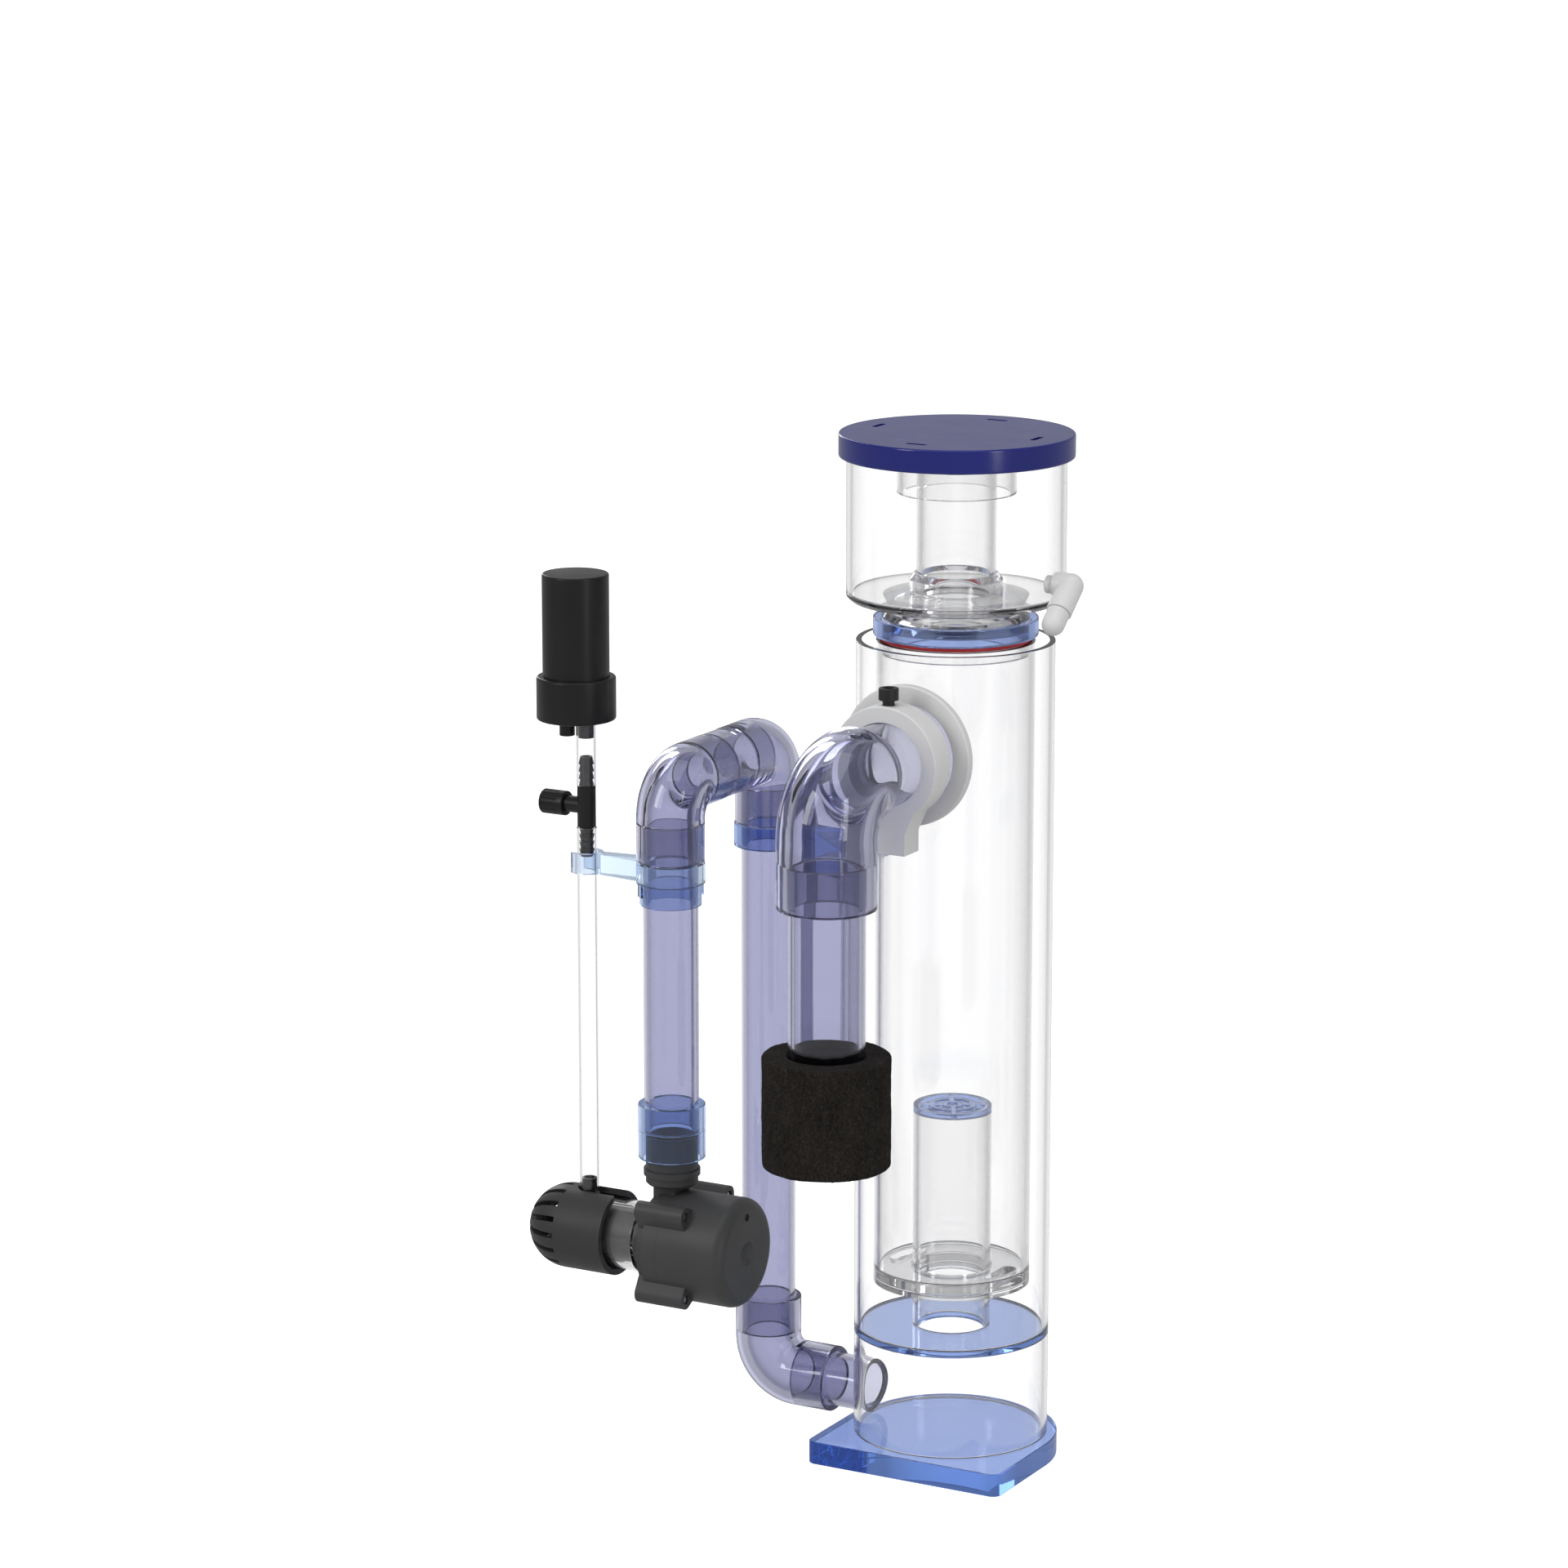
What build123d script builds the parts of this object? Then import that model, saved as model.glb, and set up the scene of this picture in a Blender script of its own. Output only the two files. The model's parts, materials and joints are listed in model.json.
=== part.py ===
"""Protein skimmer with an external riser, a venturi pump and a lift-off collection cup.

Millimetres. The origin is where the axis of the main body meets the underside of the base plate.
+Z is up, +X runs along the pump's shaft towards its motor, and -Y is the side of the water outlet.
The skimmer is modelled assembled, as it stands in use.
"""
import math
import os

from build123d import *

os.makedirs("parts", exist_ok=True)

# ---- driving dimensions ----------------------------------------------------------------------
CLEARANCE = 0.3           # gap between pieces that come apart
WALL = 3.0                # wall of the clear acrylic tubes

BASE_R = 55.0
BASE_T = 12.0
BODY_R = 50.0
BODY_TOP = 427.0
DISC_BOTTOM = 66.0
DISC_T = 3.0
DISC_TOP = DISC_BOTTOM + DISC_T

BUBBLE_R = 20.0
BUBBLE_BORE_R = 17.5
FLOW_PLATE_BOTTOM = 93.0
FLOW_PLATE_TOP = 96.0
BUBBLE_TOP = 183.0
GRILLE_T = 3.0

REACTION_R = 40.0
REACTION_FLOOR_T = 5.0
REACTION_BOTTOM = FLOW_PLATE_TOP + CLEARANCE

O_RING_R = 37.15          # centre line
O_RING_SECTION_R = 1.2
SPIGOT_R = 36.75
SPIGOT_BORE_R = 33.0
FLANGE_R = 41.5
FLANGE_T = 9.0
FLANGE_BOTTOM = BODY_TOP + 2 * O_RING_SECTION_R + 0.2
FLANGE_TOP = FLANGE_BOTTOM + FLANGE_T
NECK_H = 8.6
CUP_R = 55.0
CUP_FLOOR_T = 4.0
CUP_FLOOR_BOTTOM = FLANGE_TOP + NECK_H
CUP_FLOOR_TOP = CUP_FLOOR_BOTTOM + CUP_FLOOR_T
CUP_TOP = 527.0
RISER_TUBE_TOP = CUP_TOP - 13.7
DRAIN_Z = CUP_FLOOR_TOP + 8.0
DRAIN_STUB_R = 4.5
DRAIN_LEG_X = 63.5
DRAIN_ANGLE = 40.0        # below horizontal, towards -Y
DRAIN_R = 6.5
DRAIN_PLUG_R = 5.8

LID_R = 59.0
LID_PLATE_T = 4.0
LID_SKIRT_H = 8.0
LID_UNDERSIDE = CUP_TOP + CLEARANCE
BAFFLE_R = 30.0
BAFFLE_H = 26.0

PIPE_R = 14.0
PIPE_BORE_R = 11.5
FITTING_R = 17.2
FITTING_LEG = 40.0        # from the corner of an elbow to its mouth
FITTING_BEND = 18.5
SOCKET_DEPTH = 19.0
PIPEWORK_X = -107.4
RISER_Y = -100.0
CROSSOVER_Z = 361.0
LOWER_PIPE_Z = 27.0
COUPLER_BOTTOM = 168.0
COUPLER_TOP = 196.0
PORT_TOP = 180.0

OUTLET_Z = 377.0
SPIGOT_OUT_R = 26.5
SPIGOT_OUT_BORE_R = 22.5
COLLAR_R = 29.0
COLLAR_FRONT_Y = -77.0
COLLAR_BACK_Y = -62.0
COLLAR_BORE_R = 21.05
COLLAR_FOOT_Z = 332.0
OUTLET_LEG_R = 20.75
OUTLET_LEG_BORE_R = 18.0
OUTLET_ELBOW_R = 24.8
OUTLET_SOCKET_R = 19.3
OUTLET_Y = -134.6
OUTLET_BEND = 26.5
OUTLET_MOUTH_Z = 317.0
OUTLET_PIPE_R = 19.0
OUTLET_PIPE_L = 139.0
OUTLET_INSERTION = 22.0
SCREW_R = 3.0
SCREW_HEAD_R = 5.0
SCREW_HEAD_H = 6.0
SCREW_Y = -71.5

SPONGE_R = 32.0
SPONGE_H = 56.0
SPONGE_FLOOR = 12.0

PUMP_Z = 123.0
CAN_R = 28.0
CAN_BORE_R = 25.3
INLET_END = -33.4         # along the shaft, from the axis of the pump's outlet port
VOLUTE_FRONT = -6.6
VOLUTE_STEP = -2.6
SEAM = 5.8
CAN_END = 43.5
CAN_CAVITY_END = 38.5
BOSS_FRONT = -6.6
BOSS_BACK = 20.8
BOSS_Y = 22.0
BOSS_Z = 21.5
BOSS_R = 5.0
BOSS_WEB_OFFSET = 14.0
BOSS_WEB_R = 8.0
INLET_R = 13.75
INLET_BORE_R = 11.5
CHAMBER_R = 20.0
SHAFT_R = 1.5
ROTOR_BORE_R = 1.55
WELL_BORE_R = 11.6
WELL_R = 13.0

NIPPLE_X = -156.0
SLEEVE_START = -163.0
SLEEVE_END = -122.0
SLEEVE_R = 17.75
SLEEVE_BORE_R = 15.0
STRAINER_R = 21.8
STRAINER_BORE_R = 18.75
STRAINER_OPEN_X = -138.0
STRAINER_DOME_X = -166.5
STRAINER_SLITS = 16

HOSE_R = 5.2
HOSE_BORE_R = 4.2
BARB_R = HOSE_BORE_R - CLEARANCE
HOSE_BOTTOM = 142.0
HOSE_L = 191.0
BARB_L = 15.0
VALVE_BODY_H = 21.0
SHORT_HOSE_L = 33.0
NOZZLE_L = 9.0
SILENCER_R = 16.8
SILENCER_CAP_R = 20.0
SILENCER_CAP_H = 22.0
SILENCER_BODY_H = 71.0


# ---- helpers ---------------------------------------------------------------------------------
def save(builder, name):
    """Label a finished piece and write it to its own file."""
    builder.part.label = name
    export_step(builder.part, f"parts/{name}.step")


def up(x, y, z):
    """A plane whose normal is +Z."""
    return Plane(origin=(x, y, z), x_dir=(1, 0, 0), z_dir=(0, 0, 1))


def along_x(x, y, z):
    """A plane whose normal is +X, with its own X along +Y."""
    return Plane(origin=(x, y, z), x_dir=(0, 1, 0), z_dir=(1, 0, 0))


def along_minus_y(x, y, z):
    """A plane whose normal is -Y, with its own X along +X."""
    return Plane(origin=(x, y, z), x_dir=(1, 0, 0), z_dir=(0, -1, 0))


def disc(plane, radius, height, mode=Mode.ADD):
    """A plain cylinder standing on a plane."""
    with BuildSketch(plane) as profile:
        Circle(radius)
    extrude(profile.sketch, amount=height, mode=mode)


def ring(plane, outer, inner, height):
    """A tube standing on a plane."""
    with BuildSketch(plane) as profile:
        Circle(outer)
        Circle(inner, mode=Mode.SUBTRACT)
    extrude(profile.sketch, amount=height)


def tube(plane, outer, inner, height):
    """A tube as a piece of its own."""
    with BuildPart() as piece:
        ring(plane, outer, inner, height)
    return piece


def bend(start, corner, end, radius, bend_radius, mode=Mode.ADD):
    """A round bar swept through a corner, for the outside or the bore of an elbow."""
    with BuildLine() as path:
        FilletPolyline(start, corner, end, radius=bend_radius)
    with BuildSketch(Plane(origin=start, z_dir=Vector(*corner) - Vector(*start))) as section:
        Circle(radius)
    sweep(section.sketch, path=path.wires()[0], mode=mode)


def flow_slots(plane):
    """Two curved teardrop slots on opposite sides of a plate."""
    wide_r = 3.8
    narrow_r = 1.6
    slot_r = 30.0
    wide_angle = 10.0
    narrow_angle = -26.0
    for turn in (0.0, 180.0):
        with BuildSketch(plane) as slot:
            with PolarLocations(slot_r, 1, start_angle=turn + wide_angle):
                Circle(wide_r)
            with PolarLocations(slot_r, 1, start_angle=turn + (wide_angle + narrow_angle) / 2):
                Circle((wide_r + narrow_r) / 2)
            with PolarLocations(slot_r, 1, start_angle=turn + narrow_angle):
                Circle(narrow_r)
            make_hull()
        extrude(slot.sketch, amount=2 * REACTION_FLOOR_T, both=True, mode=Mode.SUBTRACT)


# ---- base and main body ----------------------------------------------------------------------
CORNER_R = 5.0

with BuildPart() as base_plate:
    with BuildSketch() as outline:
        Circle(BASE_R)
        with Locations((0, -BASE_R / 2)):
            Rectangle(2 * BASE_R, BASE_R)
        fillet(outline.vertices().group_by(Axis.Y)[0], CORNER_R)
    extrude(amount=BASE_T)
save(base_plate, "base_plate")

with BuildPart() as lower_chamber_tube:
    ring(up(0, 0, BASE_T), BODY_R, BODY_R - WALL, DISC_BOTTOM - BASE_T)
    disc(along_x(-BODY_R - WALL, 0, LOWER_PIPE_Z), PIPE_R, 3 * WALL + 4, Mode.SUBTRACT)
save(lower_chamber_tube, "lower_chamber_tube")

save(tube(up(0, 0, DISC_BOTTOM), BODY_R, BUBBLE_BORE_R, DISC_T), "chamber_disc")

with BuildPart() as body_tube:
    ring(up(0, 0, DISC_TOP), BODY_R, BODY_R - WALL, BODY_TOP - DISC_TOP)
    disc(along_minus_y(0, -BODY_R / 2, OUTLET_Z), SPIGOT_OUT_R, BODY_R, Mode.SUBTRACT)
save(body_tube, "body_tube")

# ---- bubble tube inside the body -------------------------------------------------------------
save(tube(up(0, 0, DISC_TOP), BUBBLE_R, BUBBLE_BORE_R, FLOW_PLATE_BOTTOM - DISC_TOP), "bubble_foot")

with BuildPart() as flow_plate:
    ring(up(0, 0, FLOW_PLATE_BOTTOM), REACTION_R, BUBBLE_BORE_R, FLOW_PLATE_TOP - FLOW_PLATE_BOTTOM)
    flow_slots(up(0, 0, FLOW_PLATE_TOP))
save(flow_plate, "flow_plate")

save(tube(up(0, 0, FLOW_PLATE_TOP), BUBBLE_R, BUBBLE_BORE_R, BUBBLE_TOP - FLOW_PLATE_TOP), "bubble_tube")

GRILLE_RINGS = ((BUBBLE_R, 16.6), (12.2, 9.4), (5.6, 2.8))   # outer and inner radius of each ring
WIDE_SPOKE = 5.0
NARROW_SPOKE = 2.4
SPOKE_TURN = 30.0

with BuildPart() as bubble_grille:
    for outer, inner in GRILLE_RINGS:
        ring(up(0, 0, BUBBLE_TOP), outer, inner, GRILLE_T)
    with BuildSketch(up(0, 0, BUBBLE_TOP)):
        Rectangle(2 * BUBBLE_R - 4, WIDE_SPOKE, rotation=SPOKE_TURN)
        Rectangle(NARROW_SPOKE, 2 * BUBBLE_R - 4, rotation=SPOKE_TURN)
        Circle(GRILLE_RINGS[-1][1], mode=Mode.SUBTRACT)
    extrude(amount=GRILLE_T)
save(bubble_grille, "bubble_grille")

# ---- reaction tube, which lifts out of the body ----------------------------------------------
with BuildPart() as reaction_floor:
    ring(up(0, 0, REACTION_BOTTOM), REACTION_R, BUBBLE_R + 0.5, REACTION_FLOOR_T)
    flow_slots(up(0, 0, REACTION_BOTTOM))
save(reaction_floor, "reaction_floor")

REACTION_TUBE_BOTTOM = REACTION_BOTTOM + REACTION_FLOOR_T
save(
    tube(up(0, 0, REACTION_TUBE_BOTTOM), REACTION_R, REACTION_R - WALL, BODY_TOP - REACTION_TUBE_BOTTOM),
    "reaction_tube",
)

# ---- collection cup --------------------------------------------------------------------------
GROOVE_R = 35.7
GROOVE_H = 2.8
SPIGOT_L = 9.0
COLLAR_H = 10.0
RISER_COLLAR_R = 23.5

with BuildPart() as cup_o_ring:
    with BuildSketch(Plane.XZ):
        with Locations((O_RING_R, BODY_TOP + O_RING_SECTION_R + 0.1)):
            Circle(O_RING_SECTION_R)
    revolve(axis=Axis.Z)
save(cup_o_ring, "cup_o_ring")

with BuildPart() as cup_neck:
    with BuildSketch(Plane.XZ):
        with BuildLine():
            Polyline(
                (SPIGOT_BORE_R, FLANGE_BOTTOM - SPIGOT_L),
                (SPIGOT_R - 0.8, FLANGE_BOTTOM - SPIGOT_L),
                (SPIGOT_R, FLANGE_BOTTOM - SPIGOT_L + 0.8),
                (SPIGOT_R, FLANGE_BOTTOM - GROOVE_H),
                (GROOVE_R, FLANGE_BOTTOM - GROOVE_H),
                (GROOVE_R, FLANGE_BOTTOM),
                (SPIGOT_R, FLANGE_BOTTOM),
                (SPIGOT_R, FLANGE_TOP),
                (SPIGOT_R - 2.0, FLANGE_TOP + NECK_H / 2),
                (SPIGOT_R, CUP_FLOOR_BOTTOM),
                (BUBBLE_BORE_R, CUP_FLOOR_BOTTOM),
                (SPIGOT_BORE_R, FLANGE_TOP - NECK_H / 2),
                close=True,
            )
        make_face()
    revolve(axis=Axis.Z)
save(cup_neck, "cup_neck")

with BuildPart() as cup_flange:
    ring(up(0, 0, FLANGE_BOTTOM), FLANGE_R, SPIGOT_R, FLANGE_T)
    chamfer(cup_flange.edges().filter_by(GeomType.CIRCLE).sort_by(SortBy.RADIUS)[-2:], 0.5)
save(cup_flange, "cup_flange")

with BuildPart() as cup_floor:
    ring(up(0, 0, CUP_FLOOR_BOTTOM), CUP_R, BUBBLE_R, CUP_FLOOR_T)
    fillet(cup_floor.edges().filter_by(GeomType.CIRCLE).group_by(Axis.Z)[0].sort_by(SortBy.RADIUS)[-1], 2.5)
save(cup_floor, "cup_floor")

with BuildPart() as cup_wall:
    ring(up(0, 0, CUP_FLOOR_TOP), CUP_R, CUP_R - WALL, CUP_TOP - CUP_FLOOR_TOP)
    disc(along_x(CUP_R - 3 * WALL, 0, DRAIN_Z), DRAIN_STUB_R + CLEARANCE, 4 * WALL, Mode.SUBTRACT)
save(cup_wall, "cup_wall")

save(
    tube(up(0, 0, CUP_FLOOR_BOTTOM), BUBBLE_R, BUBBLE_R - WALL, RISER_TUBE_TOP - CUP_FLOOR_BOTTOM),
    "cup_riser_tube",
)

with BuildPart() as cup_riser_collar:
    ring(up(0, 0, CUP_FLOOR_TOP), RISER_COLLAR_R, BUBBLE_R, COLLAR_H)
    chamfer(
        cup_riser_collar.edges().filter_by(GeomType.CIRCLE).group_by(Axis.Z)[-1].sort_by(SortBy.RADIUS)[-1],
        2.6,
    )
save(cup_riser_collar, "cup_riser_collar")

# ---- cup drain: a swivelling elbow with a push-in plug ---------------------------------------
DRAIN_DIR = Vector(0, -math.cos(math.radians(DRAIN_ANGLE)), -math.sin(math.radians(DRAIN_ANGLE)))
DRAIN_CORNER = Vector(DRAIN_LEG_X, 0, DRAIN_Z)
DRAIN_LEG_L = 17.0
DRAIN_BORE_R = 3.0
DRAIN_SOCKET_R = 4.3
DRAIN_SOCKET_L = 9.0
PLUG_TIP_L = 13.0
DRAIN_LEG_PLANE = Plane(origin=tuple(DRAIN_CORNER), x_dir=(1, 0, 0), z_dir=tuple(DRAIN_DIR))
DRAIN_MOUTH_PLANE = DRAIN_LEG_PLANE.offset(DRAIN_LEG_L)

DRAIN_STUB_X = CUP_R - WALL - 2.5

with BuildPart() as drain_elbow:
    disc(along_x(CUP_R + 0.4, 0, DRAIN_Z), DRAIN_R, DRAIN_LEG_X - CUP_R - 0.4)
    disc(along_x(DRAIN_STUB_X, 0, DRAIN_Z), DRAIN_STUB_R, WALL + 4)
    disc(DRAIN_LEG_PLANE, DRAIN_R, DRAIN_LEG_L)
    with Locations(DRAIN_LEG_PLANE.origin):
        Sphere(DRAIN_R)
    fillet(drain_elbow.edges().filter_by(GeomType.CIRCLE).sort_by(Axis.Y)[0], 0.5)
    disc(along_x(DRAIN_STUB_X, 0, DRAIN_Z), DRAIN_BORE_R, DRAIN_LEG_X - DRAIN_STUB_X, Mode.SUBTRACT)
    disc(DRAIN_LEG_PLANE, DRAIN_BORE_R, DRAIN_LEG_L, Mode.SUBTRACT)
    disc(DRAIN_MOUTH_PLANE, DRAIN_SOCKET_R, -DRAIN_SOCKET_L, Mode.SUBTRACT)
save(drain_elbow, "drain_elbow")

with BuildPart() as drain_plug:
    disc(DRAIN_MOUTH_PLANE.offset(CLEARANCE), DRAIN_PLUG_R, PLUG_TIP_L)
    fillet(drain_plug.edges().filter_by(GeomType.CIRCLE).sort_by(Axis.Y)[0], DRAIN_PLUG_R - 0.4)
    disc(DRAIN_MOUTH_PLANE.offset(CLEARANCE), DRAIN_SOCKET_R - CLEARANCE, -DRAIN_SOCKET_L + 1)
save(drain_plug, "drain_plug")

# ---- lid -------------------------------------------------------------------------------------
LID_BORE_R = CUP_R + 0.8
LID_GROOVE_L = 11.5
LID_GROOVE_W = 3.0
LID_GROOVE_R = 44.0
LID_GROOVE_DEPTH = 1.6
LID_GROOVES = 4

with BuildPart() as lid:
    disc(up(0, 0, LID_UNDERSIDE - LID_SKIRT_H), LID_R, LID_SKIRT_H + LID_PLATE_T)
    disc(up(0, 0, LID_UNDERSIDE - LID_SKIRT_H), LID_BORE_R, LID_SKIRT_H, Mode.SUBTRACT)
    fillet(lid.edges().filter_by(GeomType.CIRCLE).group_by(Axis.Z)[-1], 1.2)
    with BuildSketch(up(0, 0, LID_UNDERSIDE + LID_PLATE_T)):
        with PolarLocations(LID_GROOVE_R, LID_GROOVES):
            SlotOverall(LID_GROOVE_L, LID_GROOVE_W, rotation=90)
    extrude(amount=-LID_GROOVE_DEPTH, mode=Mode.SUBTRACT)
save(lid, "lid")

save(tube(up(0, 0, LID_UNDERSIDE - BAFFLE_H), BAFFLE_R, BAFFLE_R - WALL, BAFFLE_H), "lid_baffle")


# ---- inlet pipework --------------------------------------------------------------------------
def socket_elbow(start, corner, end, name):
    """An elbow with a pipe socket at each mouth."""
    with BuildPart() as piece:
        bend(start, corner, end, FITTING_R, FITTING_BEND)
        bend(start, corner, end, PIPE_BORE_R, FITTING_BEND, Mode.SUBTRACT)
        for mouth in (start, end):
            inward = (Vector(*corner) - Vector(*mouth)).normalized()
            disc(Plane(origin=mouth, z_dir=inward), PIPE_R, SOCKET_DEPTH, Mode.SUBTRACT)
    save(piece, name)


RISER_MOUTH_Z = CROSSOVER_Z - FITTING_LEG
LOWER_MOUTH_Z = LOWER_PIPE_Z + FITTING_LEG

socket_elbow(
    (PIPEWORK_X, RISER_Y, RISER_MOUTH_Z),
    (PIPEWORK_X, RISER_Y, CROSSOVER_Z),
    (PIPEWORK_X, RISER_Y + FITTING_LEG, CROSSOVER_Z),
    "riser_elbow",
)
socket_elbow(
    (PIPEWORK_X, 0, RISER_MOUTH_Z),
    (PIPEWORK_X, 0, CROSSOVER_Z),
    (PIPEWORK_X, -FITTING_LEG, CROSSOVER_Z),
    "downpipe_upper_elbow",
)
socket_elbow(
    (PIPEWORK_X, 0, LOWER_MOUTH_Z),
    (PIPEWORK_X, 0, LOWER_PIPE_Z),
    (PIPEWORK_X + FITTING_LEG, 0, LOWER_PIPE_Z),
    "downpipe_lower_elbow",
)

RISER_PIPE_BOTTOM = PORT_TOP + 2.0
RISER_PIPE_TOP = RISER_MOUTH_Z + SOCKET_DEPTH
save(
    tube(
        up(PIPEWORK_X, RISER_Y, RISER_PIPE_BOTTOM),
        PIPE_R,
        PIPE_BORE_R,
        RISER_PIPE_TOP - RISER_PIPE_BOTTOM,
    ),
    "riser_pipe",
)

DOWN_PIPE_BOTTOM = LOWER_MOUTH_Z - SOCKET_DEPTH
save(
    tube(up(PIPEWORK_X, 0, DOWN_PIPE_BOTTOM), PIPE_R, PIPE_BORE_R, RISER_PIPE_TOP - DOWN_PIPE_BOTTOM),
    "down_pipe",
)

with BuildPart() as crossover_pipe:
    ring(
        along_minus_y(PIPEWORK_X, -FITTING_LEG + SOCKET_DEPTH, CROSSOVER_Z),
        PIPE_R,
        PIPE_BORE_R,
        -RISER_Y - 2 * (FITTING_LEG - SOCKET_DEPTH),
    )
    ring(
        along_minus_y(PIPEWORK_X, -FITTING_LEG, CROSSOVER_Z),
        FITTING_R - 0.3,
        PIPE_R,
        -RISER_Y - 2 * FITTING_LEG,
    )
save(crossover_pipe, "crossover_pipe")

STUB_START = PIPEWORK_X + FITTING_LEG - SOCKET_DEPTH
with BuildPart() as inlet_stub_pipe:
    ring(along_x(STUB_START, 0, LOWER_PIPE_Z), PIPE_R, PIPE_BORE_R, -STUB_START)
    disc(up(0, 0, 0), BODY_R - WALL, 2 * BASE_R, Mode.SUBTRACT)
save(inlet_stub_pipe, "inlet_stub_pipe")

COUPLER_PLANE = up(PIPEWORK_X, RISER_Y, COUPLER_BOTTOM)
COUPLER_R = 17.0
COUPLER_PORT_R = PIPE_R + 0.4

with BuildPart() as pump_coupler:
    disc(COUPLER_PLANE, COUPLER_R, COUPLER_TOP - COUPLER_BOTTOM)
    disc(COUPLER_PLANE, COUPLER_PORT_R, RISER_PIPE_BOTTOM - COUPLER_BOTTOM, Mode.SUBTRACT)
    disc(COUPLER_PLANE, PIPE_R, COUPLER_TOP - COUPLER_BOTTOM, Mode.SUBTRACT)
save(pump_coupler, "pump_coupler")

# ---- hose clip on the riser ------------------------------------------------------------------
CLIP_TOP = RISER_MOUTH_Z - 0.5
CLIP_H = 10.5
CLIP_BOTTOM = CLIP_TOP - CLIP_H
CLIP_R = 8.4
CLIP_BORE_R = HOSE_R + CLEARANCE
STOP_BOTTOM = 299.0
STOP_R = 15.6
LUG_BOTTOM = 303.5
LUG_R = 16.6
LUG_W = 6.5
ARM_ROOT_HALF = 7.0
ARM_NECK_HALF = 3.6
CLIP_CENTRE = NIPPLE_X - PIPEWORK_X

with BuildPart() as hose_clip_arm:
    with BuildSketch(up(PIPEWORK_X, RISER_Y, CLIP_BOTTOM)):
        Circle(FITTING_R + 0.1)
        with BuildLine():
            Polyline(
                (-PIPE_R, -ARM_ROOT_HALF),
                (CLIP_CENTRE + CLIP_R, -ARM_NECK_HALF),
                (CLIP_CENTRE, -ARM_NECK_HALF),
                (CLIP_CENTRE, ARM_NECK_HALF),
                (CLIP_CENTRE + CLIP_R, ARM_NECK_HALF),
                (-PIPE_R, ARM_ROOT_HALF),
                close=True,
            )
        make_face()
        with Locations((CLIP_CENTRE, 0)):
            Circle(CLIP_R)
            Circle(CLIP_BORE_R, mode=Mode.SUBTRACT)
        with Locations((CLIP_CENTRE - CLIP_R, 0)):
            Rectangle(2 * CLIP_R, 2 * CLIP_BORE_R, mode=Mode.SUBTRACT)
        Circle(PIPE_R, mode=Mode.SUBTRACT)
    extrude(amount=CLIP_H)
save(hose_clip_arm, "hose_clip_arm")

with BuildPart() as clip_stop_ring:
    with BuildSketch(up(PIPEWORK_X, RISER_Y, LUG_BOTTOM)):
        with PolarLocations(0, 2, start_angle=45):
            Rectangle(2 * LUG_R, LUG_W)
        Circle(LUG_R, mode=Mode.INTERSECT)
    extrude(amount=CLIP_BOTTOM - LUG_BOTTOM)
    disc(up(PIPEWORK_X, RISER_Y, STOP_BOTTOM), STOP_R, CLIP_BOTTOM - STOP_BOTTOM)
    disc(up(PIPEWORK_X, RISER_Y, STOP_BOTTOM), PIPE_R, CLIP_BOTTOM - STOP_BOTTOM, Mode.SUBTRACT)
save(clip_stop_ring, "clip_stop_ring")

# ---- bracket from the down pipe to the body --------------------------------------------------
BRACKET_BOTTOM = RISER_MOUTH_Z - 12.0
BRACKET_H = 11.8
BRACKET_HALF = 12.5

with BuildPart() as pipe_bracket:
    disc(up(PIPEWORK_X, 0, BRACKET_BOTTOM), FITTING_R + 0.6, BRACKET_H)
    with BuildSketch(up(PIPEWORK_X / 2, 0, BRACKET_BOTTOM)):
        Rectangle(-PIPEWORK_X, 2 * BRACKET_HALF)
    extrude(amount=BRACKET_H)
    disc(up(0, 0, BRACKET_BOTTOM), BODY_R, BRACKET_H, Mode.SUBTRACT)
    disc(up(PIPEWORK_X, 0, BRACKET_BOTTOM), PIPE_R, BRACKET_H, Mode.SUBTRACT)
save(pipe_bracket, "pipe_bracket")

# ---- water outlet ----------------------------------------------------------------------------
BULKHEAD_END_Y = -66.0
WHITE_FLANGE_R = 35.5
WHITE_FLANGE_T = 4.0
FOOT_HALF = 12.0
FOOT_ROOT_HALF = 17.0

with BuildPart() as outlet_bulkhead:
    ring(
        along_minus_y(0, -BODY_R / 2, OUTLET_Z),
        SPIGOT_OUT_R,
        SPIGOT_OUT_BORE_R,
        -BULKHEAD_END_Y - BODY_R / 2,
    )
    disc(up(0, 0, 0), BODY_R - WALL, BODY_TOP, Mode.SUBTRACT)
save(outlet_bulkhead, "outlet_bulkhead")

with BuildPart() as bulkhead_flange:
    ring(along_minus_y(0, -BODY_R, OUTLET_Z), WHITE_FLANGE_R, SPIGOT_OUT_R, WHITE_FLANGE_T)
    front_edges = bulkhead_flange.edges().filter_by(GeomType.CIRCLE).group_by(Axis.Y)[0]
    fillet(front_edges.sort_by(SortBy.RADIUS)[-1], 1.0)
save(bulkhead_flange, "bulkhead_flange")

COLLAR_PLANE = along_minus_y(0, COLLAR_BACK_Y, OUTLET_Z)

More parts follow.
